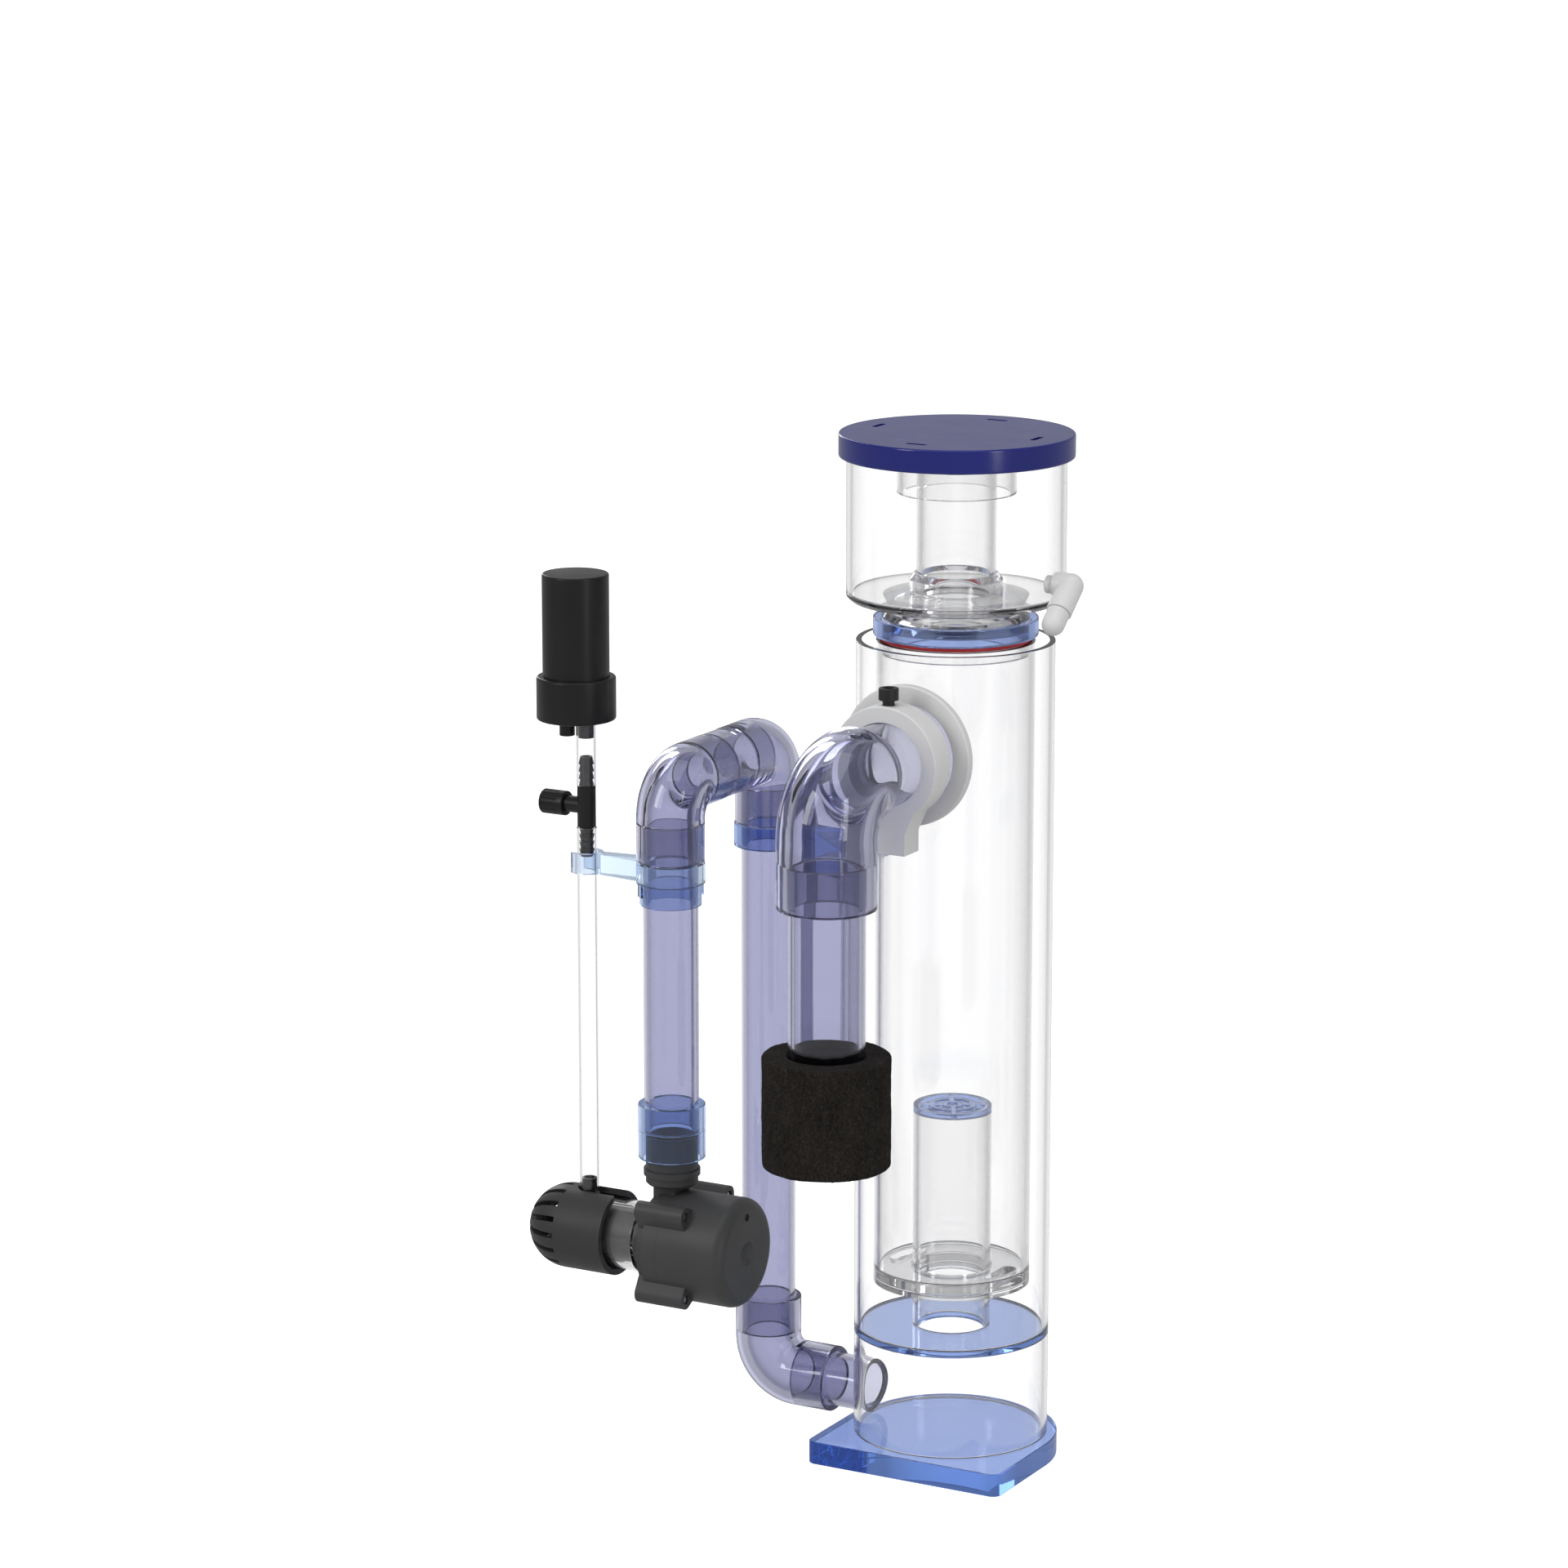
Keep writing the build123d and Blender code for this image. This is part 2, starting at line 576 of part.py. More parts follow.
with BuildPart() as outlet_collar:
    with BuildSketch(COLLAR_PLANE):
        Circle(COLLAR_R)
        with BuildLine():
            Polyline(
                (-FOOT_ROOT_HALF, 6 - COLLAR_R),
                (-FOOT_HALF, -COLLAR_R - 5),
                (-FOOT_HALF, COLLAR_FOOT_Z - OUTLET_Z),
                (FOOT_HALF, COLLAR_FOOT_Z - OUTLET_Z),
                (FOOT_HALF, -COLLAR_R - 5),
                (FOOT_ROOT_HALF, 6 - COLLAR_R),
                close=True,
            )
        make_face()
    extrude(amount=COLLAR_BACK_Y - COLLAR_FRONT_Y)
    fillet(outlet_collar.edges().group_by(Axis.Y)[0].filter_by(GeomType.CIRCLE), 0.8)
    disc(COLLAR_PLANE, COLLAR_BORE_R, COLLAR_BACK_Y - COLLAR_FRONT_Y, Mode.SUBTRACT)
    disc(COLLAR_PLANE, SPIGOT_OUT_R, COLLAR_BACK_Y - BULKHEAD_END_Y, Mode.SUBTRACT)
    disc(up(0, SCREW_Y, OUTLET_Z), SCREW_R + CLEARANCE, 2 * COLLAR_R, Mode.SUBTRACT)
save(outlet_collar, "outlet_collar")

SCREW_TIP_Z = OUTLET_Z + OUTLET_LEG_R + CLEARANCE
SCREW_L = 10.5
HEX_R = 2.9

with BuildPart() as collar_screw:
    disc(up(0, SCREW_Y, SCREW_TIP_Z), SCREW_R, SCREW_L)
    disc(up(0, SCREW_Y, SCREW_TIP_Z + SCREW_L), SCREW_HEAD_R, SCREW_HEAD_H)
    chamfer(collar_screw.edges().filter_by(GeomType.CIRCLE).group_by(Axis.Z)[0], 0.6)
    fillet(collar_screw.edges().filter_by(GeomType.CIRCLE).group_by(Axis.Z)[-1], 0.5)
    with BuildSketch(up(0, SCREW_Y, SCREW_TIP_Z + SCREW_L + SCREW_HEAD_H)):
        RegularPolygon(HEX_R, 6)
    extrude(amount=-SCREW_HEAD_H / 2, mode=Mode.SUBTRACT)
save(collar_screw, "collar_screw")

OUTLET_LEG_END_Y = -58.0
TAPER_START_Y = OUTLET_Y + OUTLET_BEND + 1.0
TAPER_END_Y = TAPER_START_Y + 10.0

OUTLET_CORNERS = ((0, OUTLET_Y, OUTLET_MOUTH_Z), (0, OUTLET_Y, OUTLET_Z), (0, TAPER_START_Y, OUTLET_Z))

with BuildPart() as outlet_elbow:
    bend(*OUTLET_CORNERS, OUTLET_ELBOW_R, OUTLET_BEND)
    with BuildSketch(along_minus_y(0, TAPER_END_Y, OUTLET_Z)):
        Circle(OUTLET_LEG_R)
    with BuildSketch(along_minus_y(0, TAPER_START_Y, OUTLET_Z)):
        Circle(OUTLET_ELBOW_R)
    loft()
    disc(along_minus_y(0, OUTLET_LEG_END_Y, OUTLET_Z), OUTLET_LEG_R, OUTLET_LEG_END_Y - TAPER_END_Y)
    bend(*OUTLET_CORNERS, OUTLET_LEG_BORE_R, OUTLET_BEND, Mode.SUBTRACT)
    disc(
        along_minus_y(0, OUTLET_LEG_END_Y, OUTLET_Z),
        OUTLET_LEG_BORE_R,
        OUTLET_LEG_END_Y - TAPER_START_Y,
        Mode.SUBTRACT,
    )
    disc(up(0, OUTLET_Y, OUTLET_MOUTH_Z), OUTLET_SOCKET_R, OUTLET_INSERTION + CLEARANCE, Mode.SUBTRACT)
save(outlet_elbow, "outlet_elbow")

OUTLET_PIPE_BOTTOM = OUTLET_MOUTH_Z + OUTLET_INSERTION - OUTLET_PIPE_L
PIPE_SLOT_H = 17.0
PIPE_SLOT_W = 9.0
PIPE_SLOT_Z = OUTLET_PIPE_BOTTOM + 17.0

with BuildPart() as outlet_pipe:
    ring(up(0, OUTLET_Y, OUTLET_PIPE_BOTTOM), OUTLET_PIPE_R, OUTLET_PIPE_R - WALL, OUTLET_PIPE_L)
    for direction in ((1, 0, 0), (0, 1, 0)):
        with BuildSketch(Plane(origin=(0, OUTLET_Y, PIPE_SLOT_Z), x_dir=(0, 0, 1), z_dir=direction)):
            SlotOverall(PIPE_SLOT_H, PIPE_SLOT_W)
        extrude(amount=OUTLET_PIPE_R + 1, both=True, mode=Mode.SUBTRACT)
save(outlet_pipe, "outlet_pipe")

SPONGE_BOTTOM = OUTLET_PIPE_BOTTOM - CLEARANCE - SPONGE_FLOOR
with BuildPart() as outlet_sponge:
    disc(up(0, OUTLET_Y, SPONGE_BOTTOM), SPONGE_R, SPONGE_H)
    fillet(outlet_sponge.edges().filter_by(GeomType.CIRCLE), 1.0)
    disc(up(0, OUTLET_Y, SPONGE_BOTTOM + SPONGE_FLOOR), OUTLET_PIPE_R + CLEARANCE, SPONGE_H, Mode.SUBTRACT)
save(outlet_sponge, "outlet_sponge")


# ---- pump ------------------------------------------------------------------------------------
def pump_plane(offset):
    """A plane square to the pump's shaft, at a distance from the outlet port's axis."""
    return along_x(PIPEWORK_X + offset, RISER_Y, PUMP_Z)


def pump_bosses(start, end):
    """Four screw bosses, each with a web to the round body."""
    for side in (-1, 1):
        for level in (-1, 1):
            with BuildSketch(pump_plane(start)) as boss:
                with Locations((side * BOSS_Y, level * BOSS_Z)):
                    Circle(BOSS_R)
                with Locations((side * BOSS_WEB_OFFSET, level * BOSS_WEB_OFFSET)):
                    Circle(BOSS_WEB_R)
                make_hull()
            extrude(boss.sketch, amount=end - start)


PORT_R = 13.25
PORT_BORE_R = 12.0
PORT_BOTTOM_Z = PUMP_Z + 31.0
PORT_FLOOR_Z = PORT_BOTTOM_Z + 3.0
PORT_RIB_Z = PUMP_Z + 36.0
PORT_RIB_R = 14.35
PORT_RIB_H = 3.2
THROAT_X = PIPEWORK_X - 0.4
THROAT_R = 4.5
THROAT_W = 15.0
FRONT_PLATE_R = 25.5
CHAMBER_FRONT = VOLUTE_FRONT + 2.0
SCREW_HOLE_R = 1.7
SCREW_HOLE_START = BOSS_FRONT + 3.0
BOSS_RECESS_R = 2.4
SPIDER_START = -9.5
SPIDER_T = 3.0
SPIDER_HUB_R = 4.5
BUSH_R = 3.0

with BuildPart() as pump_volute:
    disc(pump_plane(VOLUTE_FRONT), FRONT_PLATE_R, VOLUTE_STEP - VOLUTE_FRONT)
    disc(pump_plane(VOLUTE_STEP), CAN_R, SEAM - VOLUTE_STEP)
    pump_bosses(BOSS_FRONT, SEAM)
    disc(pump_plane(INLET_END), INLET_R, VOLUTE_FRONT - INLET_END)
    disc(up(PIPEWORK_X, RISER_Y, PORT_BOTTOM_Z), PORT_R, PORT_TOP - PORT_BOTTOM_Z)
    round_edges = pump_volute.edges().filter_by(GeomType.CIRCLE)
    chamfer(round_edges.filter_by_position(Axis.Z, PORT_BOTTOM_Z - 0.1, PORT_BOTTOM_Z + 0.1), 1.2)
    disc(up(PIPEWORK_X, RISER_Y, PORT_RIB_Z), PORT_RIB_R, PORT_RIB_H)
    with BuildSketch(up(THROAT_X, RISER_Y, PUMP_Z + CHAMBER_R)):
        Rectangle(SEAM - VOLUTE_FRONT, THROAT_W)
    extrude(amount=PORT_BOTTOM_Z - PUMP_Z - CHAMBER_R)
    disc(pump_plane(CHAMBER_FRONT), CHAMBER_R, SEAM - CHAMBER_FRONT, Mode.SUBTRACT)
    disc(pump_plane(INLET_END), INLET_BORE_R, SEAM - INLET_END, Mode.SUBTRACT)
    disc(up(THROAT_X, RISER_Y, PUMP_Z), THROAT_R, PORT_TOP - PUMP_Z, Mode.SUBTRACT)
    disc(up(PIPEWORK_X, RISER_Y, PORT_FLOOR_Z), PORT_BORE_R, PORT_TOP - PORT_FLOOR_Z, Mode.SUBTRACT)
    with BuildSketch(pump_plane(SPIDER_START)):
        Circle(SPIDER_HUB_R)
        with PolarLocations(INLET_BORE_R / 2, 3, start_angle=90):
            Rectangle(INLET_BORE_R + 0.5, 2)
        Circle(BUSH_R, mode=Mode.SUBTRACT)
    extrude(amount=SPIDER_T)
    with BuildSketch(pump_plane(SCREW_HOLE_START)):
        for side in (-1, 1):
            with Locations((side * BOSS_Y, -BOSS_Z), (side * BOSS_Y, BOSS_Z)):
                Circle(SCREW_HOLE_R)
    extrude(amount=SEAM - SCREW_HOLE_START, mode=Mode.SUBTRACT)
save(pump_volute, "pump_volute")

CAP_FILLET = 6.0
RECESS_R = 6.5
RECESS_DEPTH = 3.0
VENT_R = 2.0
VENT_Z = 19.0             # above the shaft

with BuildPart() as pump_motor_housing:
    disc(pump_plane(SEAM), CAN_R, CAN_END - SEAM)
    fillet(pump_motor_housing.edges().filter_by(GeomType.CIRCLE).sort_by(Axis.X)[-1], CAP_FILLET)
    pump_bosses(SEAM, BOSS_BACK)
    disc(pump_plane(SEAM), CAN_BORE_R, CAN_CAVITY_END - SEAM, Mode.SUBTRACT)
    disc(pump_plane(CAN_END - RECESS_DEPTH), RECESS_R, RECESS_DEPTH, Mode.SUBTRACT)
    with BuildSketch(pump_plane(CAN_END)):
        with Locations((0, VENT_Z)):
            Circle(VENT_R)
    extrude(amount=-2.0, mode=Mode.SUBTRACT)
    with BuildSketch(pump_plane(SEAM)):
        for side in (-1, 1):
            with Locations((side * BOSS_Y, -BOSS_Z), (side * BOSS_Y, BOSS_Z)):
                Circle(SCREW_HOLE_R)
    extrude(amount=BOSS_BACK - SEAM, mode=Mode.SUBTRACT)
    with BuildSketch(pump_plane(BOSS_BACK)):
        for side in (-1, 1):
            with Locations((side * BOSS_Y, -BOSS_Z), (side * BOSS_Y, BOSS_Z)):
                Circle(BOSS_RECESS_R)
    extrude(amount=-3.0, mode=Mode.SUBTRACT)
save(pump_motor_housing, "pump_motor_housing")

with BuildPart() as pump_screws:
    for side in (-1, 1):
        for level in (-1, 1):
            with BuildSketch(pump_plane(SCREW_HOLE_START)):
                with Locations((side * BOSS_Y, level * BOSS_Z)):
                    Circle(SCREW_HOLE_R - 0.1)
            extrude(amount=BOSS_BACK - 1.0 - SCREW_HOLE_START)
save(pump_screws, "pump_screws")

WELL_END = 36.0
WELL_PLATE_T = 3.0
BUSH_T = 2.5
MAGNET_R = 11.0
MAGNET_START = 9.0
MAGNET_END = WELL_END - 2.0 - BUSH_T - CLEARANCE

with BuildPart() as rotor_well:
    disc(pump_plane(SEAM), CAN_BORE_R, WELL_PLATE_T)
    disc(pump_plane(SEAM), WELL_R, WELL_END - SEAM)
    disc(pump_plane(SEAM), WELL_BORE_R, WELL_END - 2.0 - SEAM, Mode.SUBTRACT)
save(rotor_well, "rotor_well")

save(
    tube(pump_plane(SEAM + WELL_PLATE_T), CAN_BORE_R, WELL_R, CAN_CAVITY_END - SEAM - WELL_PLATE_T),
    "stator_core",
)
save(tube(pump_plane(MAGNET_START), MAGNET_R, ROTOR_BORE_R, MAGNET_END - MAGNET_START), "rotor_magnet")

IMPELLER_R = 17.0
IMPELLER_HUB_R = 4.0
BLADES = 6
BLADE_T = 1.6
BACKPLATE_T = 1.6
BLADE_START = CHAMBER_FRONT + 1.2

with BuildPart() as impeller:
    disc(pump_plane(SEAM - BACKPLATE_T - 0.6), IMPELLER_R, BACKPLATE_T)
    disc(pump_plane(BLADE_START), IMPELLER_HUB_R, MAGNET_START - BLADE_START)
    with BuildSketch(pump_plane(BLADE_START)):
        with PolarLocations(IMPELLER_R / 2, BLADES):
            Rectangle(IMPELLER_R - 0.4, BLADE_T)
    extrude(amount=SEAM - BACKPLATE_T - 0.6 - BLADE_START)
    disc(pump_plane(BLADE_START), ROTOR_BORE_R, MAGNET_START - BLADE_START, Mode.SUBTRACT)
save(impeller, "impeller")

with BuildPart() as ceramic_shaft:
    disc(pump_plane(SPIDER_START + 0.5), SHAFT_R, WELL_END - 2.0 - SPIDER_START - 0.5)
save(ceramic_shaft, "ceramic_shaft")

with BuildPart() as shaft_bushes:
    ring(pump_plane(SPIDER_START), BUSH_R, SHAFT_R, SPIDER_T)
    ring(pump_plane(WELL_END - 2.0 - BUSH_T), WELL_BORE_R, SHAFT_R, BUSH_T)
save(shaft_bushes, "shaft_bushes")

GLAND_DISH_R = 8.5
GLAND_DISH_OFFSET = 6.0   # the dish's centre, outside the end of the can

with BuildPart() as cable_gland:
    disc(pump_plane(CAN_END - RECESS_DEPTH), RECESS_R, RECESS_DEPTH)
    with Locations(pump_plane(CAN_END + GLAND_DISH_OFFSET).origin):
        Sphere(GLAND_DISH_R, mode=Mode.SUBTRACT)
save(cable_gland, "cable_gland")

# ---- venturi sleeve and strainer on the pump's inlet -----------------------------------------
NIPPLE_BORE_R = 2.6
NIPPLE_FLANGE_R = 5.4
NOZZLE_R = 6.0
NOZZLE_BORE_R = 4.4
NOZZLE_START = NIPPLE_X - 2.5
NOZZLE_LENGTH = 13.0
STEM_R = 2.0

with BuildPart() as venturi_sleeve:
    ring(along_x(SLEEVE_START, RISER_Y, PUMP_Z), SLEEVE_R, SLEEVE_BORE_R, SLEEVE_END - SLEEVE_START)
    disc(up(NIPPLE_X, RISER_Y, PUMP_Z), BARB_R, 2 * SLEEVE_R, Mode.SUBTRACT)
save(venturi_sleeve, "venturi_sleeve")

with BuildPart() as venturi_nozzle:
    disc(along_x(NOZZLE_START, RISER_Y, PUMP_Z), NOZZLE_R, NOZZLE_LENGTH)
    disc(up(NIPPLE_X, RISER_Y, PUMP_Z + NOZZLE_R - 1), STEM_R, SLEEVE_BORE_R - NOZZLE_R)
    disc(along_x(NOZZLE_START, RISER_Y, PUMP_Z), NOZZLE_BORE_R, NOZZLE_LENGTH, Mode.SUBTRACT)
save(venturi_nozzle, "venturi_nozzle")

NIPPLE_TOP = HOSE_BOTTOM + 8.0
NIPPLE_FLANGE_TOP = HOSE_BOTTOM - CLEARANCE
NIPPLE_FOOT_Z = PUMP_Z + SLEEVE_BORE_R

with BuildPart() as air_nipple:
    disc(up(NIPPLE_X, RISER_Y, NIPPLE_FOOT_Z), NIPPLE_FLANGE_R, NIPPLE_FLANGE_TOP - NIPPLE_FOOT_Z)
    disc(along_x(SLEEVE_START, RISER_Y, PUMP_Z), SLEEVE_R, SLEEVE_END - SLEEVE_START, Mode.SUBTRACT)
    disc(up(NIPPLE_X, RISER_Y, NIPPLE_FOOT_Z - 1.0), BARB_R, NIPPLE_TOP - NIPPLE_FOOT_Z + 1.0)
    disc(along_x(SLEEVE_START, RISER_Y, PUMP_Z), SLEEVE_BORE_R, SLEEVE_END - SLEEVE_START, Mode.SUBTRACT)
    disc(up(NIPPLE_X, RISER_Y, PUMP_Z), NIPPLE_BORE_R, 2 * SLEEVE_R, Mode.SUBTRACT)
save(air_nipple, "air_nipple")

STRAINER_SLOT_HALF = NIPPLE_FLANGE_R + 0.4
SLIT_W = 2.8
SLIT_INNER_R = 9.0
SLIT_START = 1.0

STRAINER_PLANE = along_x(STRAINER_DOME_X, RISER_Y, PUMP_Z)

with BuildPart() as inlet_strainer:
    disc(STRAINER_PLANE, STRAINER_R, STRAINER_OPEN_X - STRAINER_DOME_X)
    with Locations(STRAINER_PLANE.origin):
        Sphere(STRAINER_R)
    disc(STRAINER_PLANE, STRAINER_BORE_R, STRAINER_OPEN_X - STRAINER_DOME_X, Mode.SUBTRACT)
    with Locations(STRAINER_PLANE.origin):
        Sphere(STRAINER_BORE_R, mode=Mode.SUBTRACT)
    for index in range(STRAINER_SLITS):
        slit_turn = 360.0 * index / STRAINER_SLITS
        with BuildSketch(along_x(STRAINER_DOME_X + SLIT_START, RISER_Y, PUMP_Z)):
            with PolarLocations((SLIT_INNER_R + STRAINER_R) / 2 + 1, 1, start_angle=slit_turn):
                Rectangle(STRAINER_R - SLIT_INNER_R + 2, SLIT_W)
        extrude(amount=-STRAINER_R - SLIT_START, mode=Mode.SUBTRACT)
    with BuildSketch(up((STRAINER_OPEN_X + NIPPLE_X) / 2, RISER_Y, PUMP_Z)):
        Rectangle(STRAINER_OPEN_X - NIPPLE_X, 2 * STRAINER_SLOT_HALF)
        with Locations(((NIPPLE_X - STRAINER_OPEN_X) / 2, 0)):
            Circle(STRAINER_SLOT_HALF)
    extrude(amount=2 * STRAINER_R, mode=Mode.SUBTRACT)
save(inlet_strainer, "inlet_strainer")

# ---- air line --------------------------------------------------------------------------------
HOSE_TOP = HOSE_BOTTOM + HOSE_L
VALVE_BODY_BOTTOM = HOSE_TOP + CLEARANCE
VALVE_BODY_TOP = VALVE_BODY_BOTTOM + VALVE_BODY_H
VALVE_MIDDLE = (VALVE_BODY_BOTTOM + VALVE_BODY_TOP) / 2
SHORT_HOSE_BOTTOM = VALVE_BODY_TOP + CLEARANCE
SHORT_HOSE_TOP = SHORT_HOSE_BOTTOM + SHORT_HOSE_L
CAP_BOTTOM = SHORT_HOSE_TOP + CLEARANCE
VALVE_R = 4.7
VALVE_BORE_R = 1.9
BARB_RINGS = 4
BARB_ROOT_R = 3.0
SIDE_ARM_L = 11.0
SIDE_ARM_R = 4.2
KNOB_R = 6.25
KNOB_L = 13.5
KNOB_RIBS = 14

save(tube(up(NIPPLE_X, RISER_Y, HOSE_BOTTOM), HOSE_R, HOSE_BORE_R, HOSE_L), "air_hose_long")
save(tube(up(NIPPLE_X, RISER_Y, SHORT_HOSE_BOTTOM), HOSE_R, HOSE_BORE_R, SHORT_HOSE_L), "air_hose_short")


def barb(root_z, direction):
    """A hose barb: a row of cones that point away from the valve's body."""
    pitch = BARB_L / BARB_RINGS
    for index in range(BARB_RINGS):
        wide = up(NIPPLE_X, RISER_Y, root_z + direction * index * pitch)
        narrow = up(NIPPLE_X, RISER_Y, root_z + direction * (index + 1) * pitch)
        with BuildSketch(wide) as wide_end:
            Circle(BARB_R)
        with BuildSketch(narrow) as narrow_end:
            Circle(BARB_ROOT_R)
        loft([wide_end.sketch, narrow_end.sketch])


SIDE_ARM_PLANE = along_x(NIPPLE_X - SIDE_ARM_L, RISER_Y, VALVE_MIDDLE)

with BuildPart() as air_valve_body:
    disc(up(NIPPLE_X, RISER_Y, VALVE_BODY_BOTTOM), VALVE_R, VALVE_BODY_H)
    barb(VALVE_BODY_BOTTOM, -1)
    barb(VALVE_BODY_TOP, 1)
    disc(SIDE_ARM_PLANE, SIDE_ARM_R, SIDE_ARM_L)
    disc(
        up(NIPPLE_X, RISER_Y, VALVE_BODY_BOTTOM - BARB_L),
        VALVE_BORE_R,
        VALVE_BODY_H + 2 * BARB_L,
        Mode.SUBTRACT,
    )
    disc(SIDE_ARM_PLANE, VALVE_BORE_R + 0.1, SIDE_ARM_L, Mode.SUBTRACT)
save(air_valve_body, "air_valve_body")

KNOB_X = NIPPLE_X - SIDE_ARM_L - CLEARANCE - KNOB_L
with BuildPart() as air_valve_knob:
    disc(along_x(KNOB_X, RISER_Y, VALVE_MIDDLE), KNOB_R, KNOB_L)
    fillet(air_valve_knob.edges().filter_by(GeomType.CIRCLE), 0.6)
    with BuildSketch(along_x(KNOB_X, RISER_Y, VALVE_MIDDLE)):
        with PolarLocations(KNOB_R, KNOB_RIBS):
            Circle(0.55)
    extrude(amount=KNOB_L * 0.75, mode=Mode.SUBTRACT)
    disc(along_x(KNOB_X + KNOB_L, RISER_Y, VALVE_MIDDLE), VALVE_BORE_R, SIDE_ARM_L - 2)
save(air_valve_knob, "air_valve_knob")

# ---- air silencer ----------------------------------------------------------------------------
SILENCER_X = NIPPLE_X - 5.5
CAP_FLOOR_T = 3.0
SILENCER_WALL = 2.0
FOAM_H = 50.0

with BuildPart() as silencer_cap:
    disc(up(SILENCER_X, RISER_Y, CAP_BOTTOM), SILENCER_CAP_R, SILENCER_CAP_H)
    fillet(silencer_cap.edges().filter_by(GeomType.CIRCLE), 1.2)
    disc(up(SILENCER_X, RISER_Y, CAP_BOTTOM + CAP_FLOOR_T), SILENCER_R, SILENCER_CAP_H, Mode.SUBTRACT)
    for nozzle_x in (NIPPLE_X, 2 * SILENCER_X - NIPPLE_X):
        disc(up(nozzle_x, RISER_Y, CAP_BOTTOM - NOZZLE_L), BARB_R, NOZZLE_L)
        disc(
            up(nozzle_x, RISER_Y, CAP_BOTTOM - NOZZLE_L),
            VALVE_BORE_R,
            NOZZLE_L + CAP_FLOOR_T,
            Mode.SUBTRACT,
        )
save(silencer_cap, "silencer_cap")

with BuildPart() as silencer_body:
    disc(up(SILENCER_X, RISER_Y, CAP_BOTTOM + CAP_FLOOR_T), SILENCER_R, SILENCER_BODY_H)
    fillet(silencer_body.edges().filter_by(GeomType.CIRCLE).group_by(Axis.Z)[-1], 1.0)
    disc(
        up(SILENCER_X, RISER_Y, CAP_BOTTOM + CAP_FLOOR_T),
        SILENCER_R - SILENCER_WALL,
        SILENCER_BODY_H - SILENCER_WALL,
        Mode.SUBTRACT,
    )
save(silencer_body, "silencer_body")

with BuildPart() as silencer_foam:
    disc(up(SILENCER_X, RISER_Y, CAP_BOTTOM + CAP_FLOOR_T + 10), SILENCER_R - SILENCER_WALL, FOAM_H)
save(silencer_foam, "silencer_foam")
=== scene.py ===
"""Looks for the protein skimmer: clear and tinted acrylic, moulded plastics, foam, light and camera.

Blender 4.5. Lengths of pieces are millimetres, and MM turns them into metres. Textures, lights
and the camera are in metres.
"""

import json
import math

import bmesh
import bpy
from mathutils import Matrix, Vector, noise
from mathutils.geometry import convex_hull_2d

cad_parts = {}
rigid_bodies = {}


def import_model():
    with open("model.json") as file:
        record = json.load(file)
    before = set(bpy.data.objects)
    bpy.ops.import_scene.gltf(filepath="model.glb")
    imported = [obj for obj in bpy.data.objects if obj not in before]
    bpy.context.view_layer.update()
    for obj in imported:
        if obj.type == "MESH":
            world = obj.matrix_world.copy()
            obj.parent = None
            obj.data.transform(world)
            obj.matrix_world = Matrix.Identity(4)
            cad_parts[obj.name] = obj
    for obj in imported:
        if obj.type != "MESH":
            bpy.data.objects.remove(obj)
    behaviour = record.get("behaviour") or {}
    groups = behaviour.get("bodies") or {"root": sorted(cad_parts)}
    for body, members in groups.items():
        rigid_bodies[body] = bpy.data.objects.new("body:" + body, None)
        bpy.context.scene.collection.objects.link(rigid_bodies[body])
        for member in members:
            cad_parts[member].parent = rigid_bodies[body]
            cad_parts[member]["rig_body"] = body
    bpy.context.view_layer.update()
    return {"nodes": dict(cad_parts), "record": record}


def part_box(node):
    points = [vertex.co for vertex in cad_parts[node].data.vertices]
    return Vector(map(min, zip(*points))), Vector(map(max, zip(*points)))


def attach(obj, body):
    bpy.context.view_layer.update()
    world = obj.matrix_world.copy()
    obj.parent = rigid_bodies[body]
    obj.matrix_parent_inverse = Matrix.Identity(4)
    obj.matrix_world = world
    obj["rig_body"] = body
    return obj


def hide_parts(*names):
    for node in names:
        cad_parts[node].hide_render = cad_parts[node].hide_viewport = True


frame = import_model()
NODES = frame["nodes"]
SLOTS = {part["node"]: part["material_slot"] for part in frame["record"]["subparts"]}
MM = 0.001

# Working values shared by the pieces.
GAP = 0.05                # between clear pieces that are glued together, so that no faces coincide
EDGE = 0.45               # rounding of polished acrylic edges
FITTING_EDGE = 0.5        # rounding of pipe fittings
FINE_EDGE = 0.25          # rounding of pieces that keep the CAD shape
ROUND = 160               # facets round a large tube
LID_ROUND = 192
OUTLET_ROUND = 144
PIPE_ROUND = 112
HOSE_ROUND = 64

# Sizes that a node's box doesn't give.
TUBE_WALL = 3.0
BUBBLE_WALL = 2.5
PIPE_WALL = 2.5
HOSE_WALL = 1.0
BUBBLE_BORE_R = 17.5
REACTION_FLOOR_BORE_R = 20.5
RISER_TUBE_R = 20.0
PIPE_R = 14.0
COUPLER_PORT_R = 14.4
SLEEVE_BORE_R = 15.0


# ---- materials -------------------------------------------------------------------------------
def new_material(name):
    """An empty node material and its tree, shader and output."""
    material = bpy.data.materials.new(name)
    material.use_nodes = True
    tree = material.node_tree
    shader = tree.nodes["Principled BSDF"]
    output = tree.nodes["Material Output"]
    return material, tree, shader, output


def noise_node(tree, scale, detail=4.0, roughness=0.55):
    """A noise texture in object space, with the scale in features per metre."""
    coords = tree.nodes.new("ShaderNodeTexCoord")
    texture = tree.nodes.new("ShaderNodeTexNoise")
    texture.inputs["Scale"].default_value = scale
    texture.inputs["Detail"].default_value = detail
    texture.inputs["Roughness"].default_value = roughness
    tree.links.new(coords.outputs["Object"], texture.inputs["Vector"])
    return texture


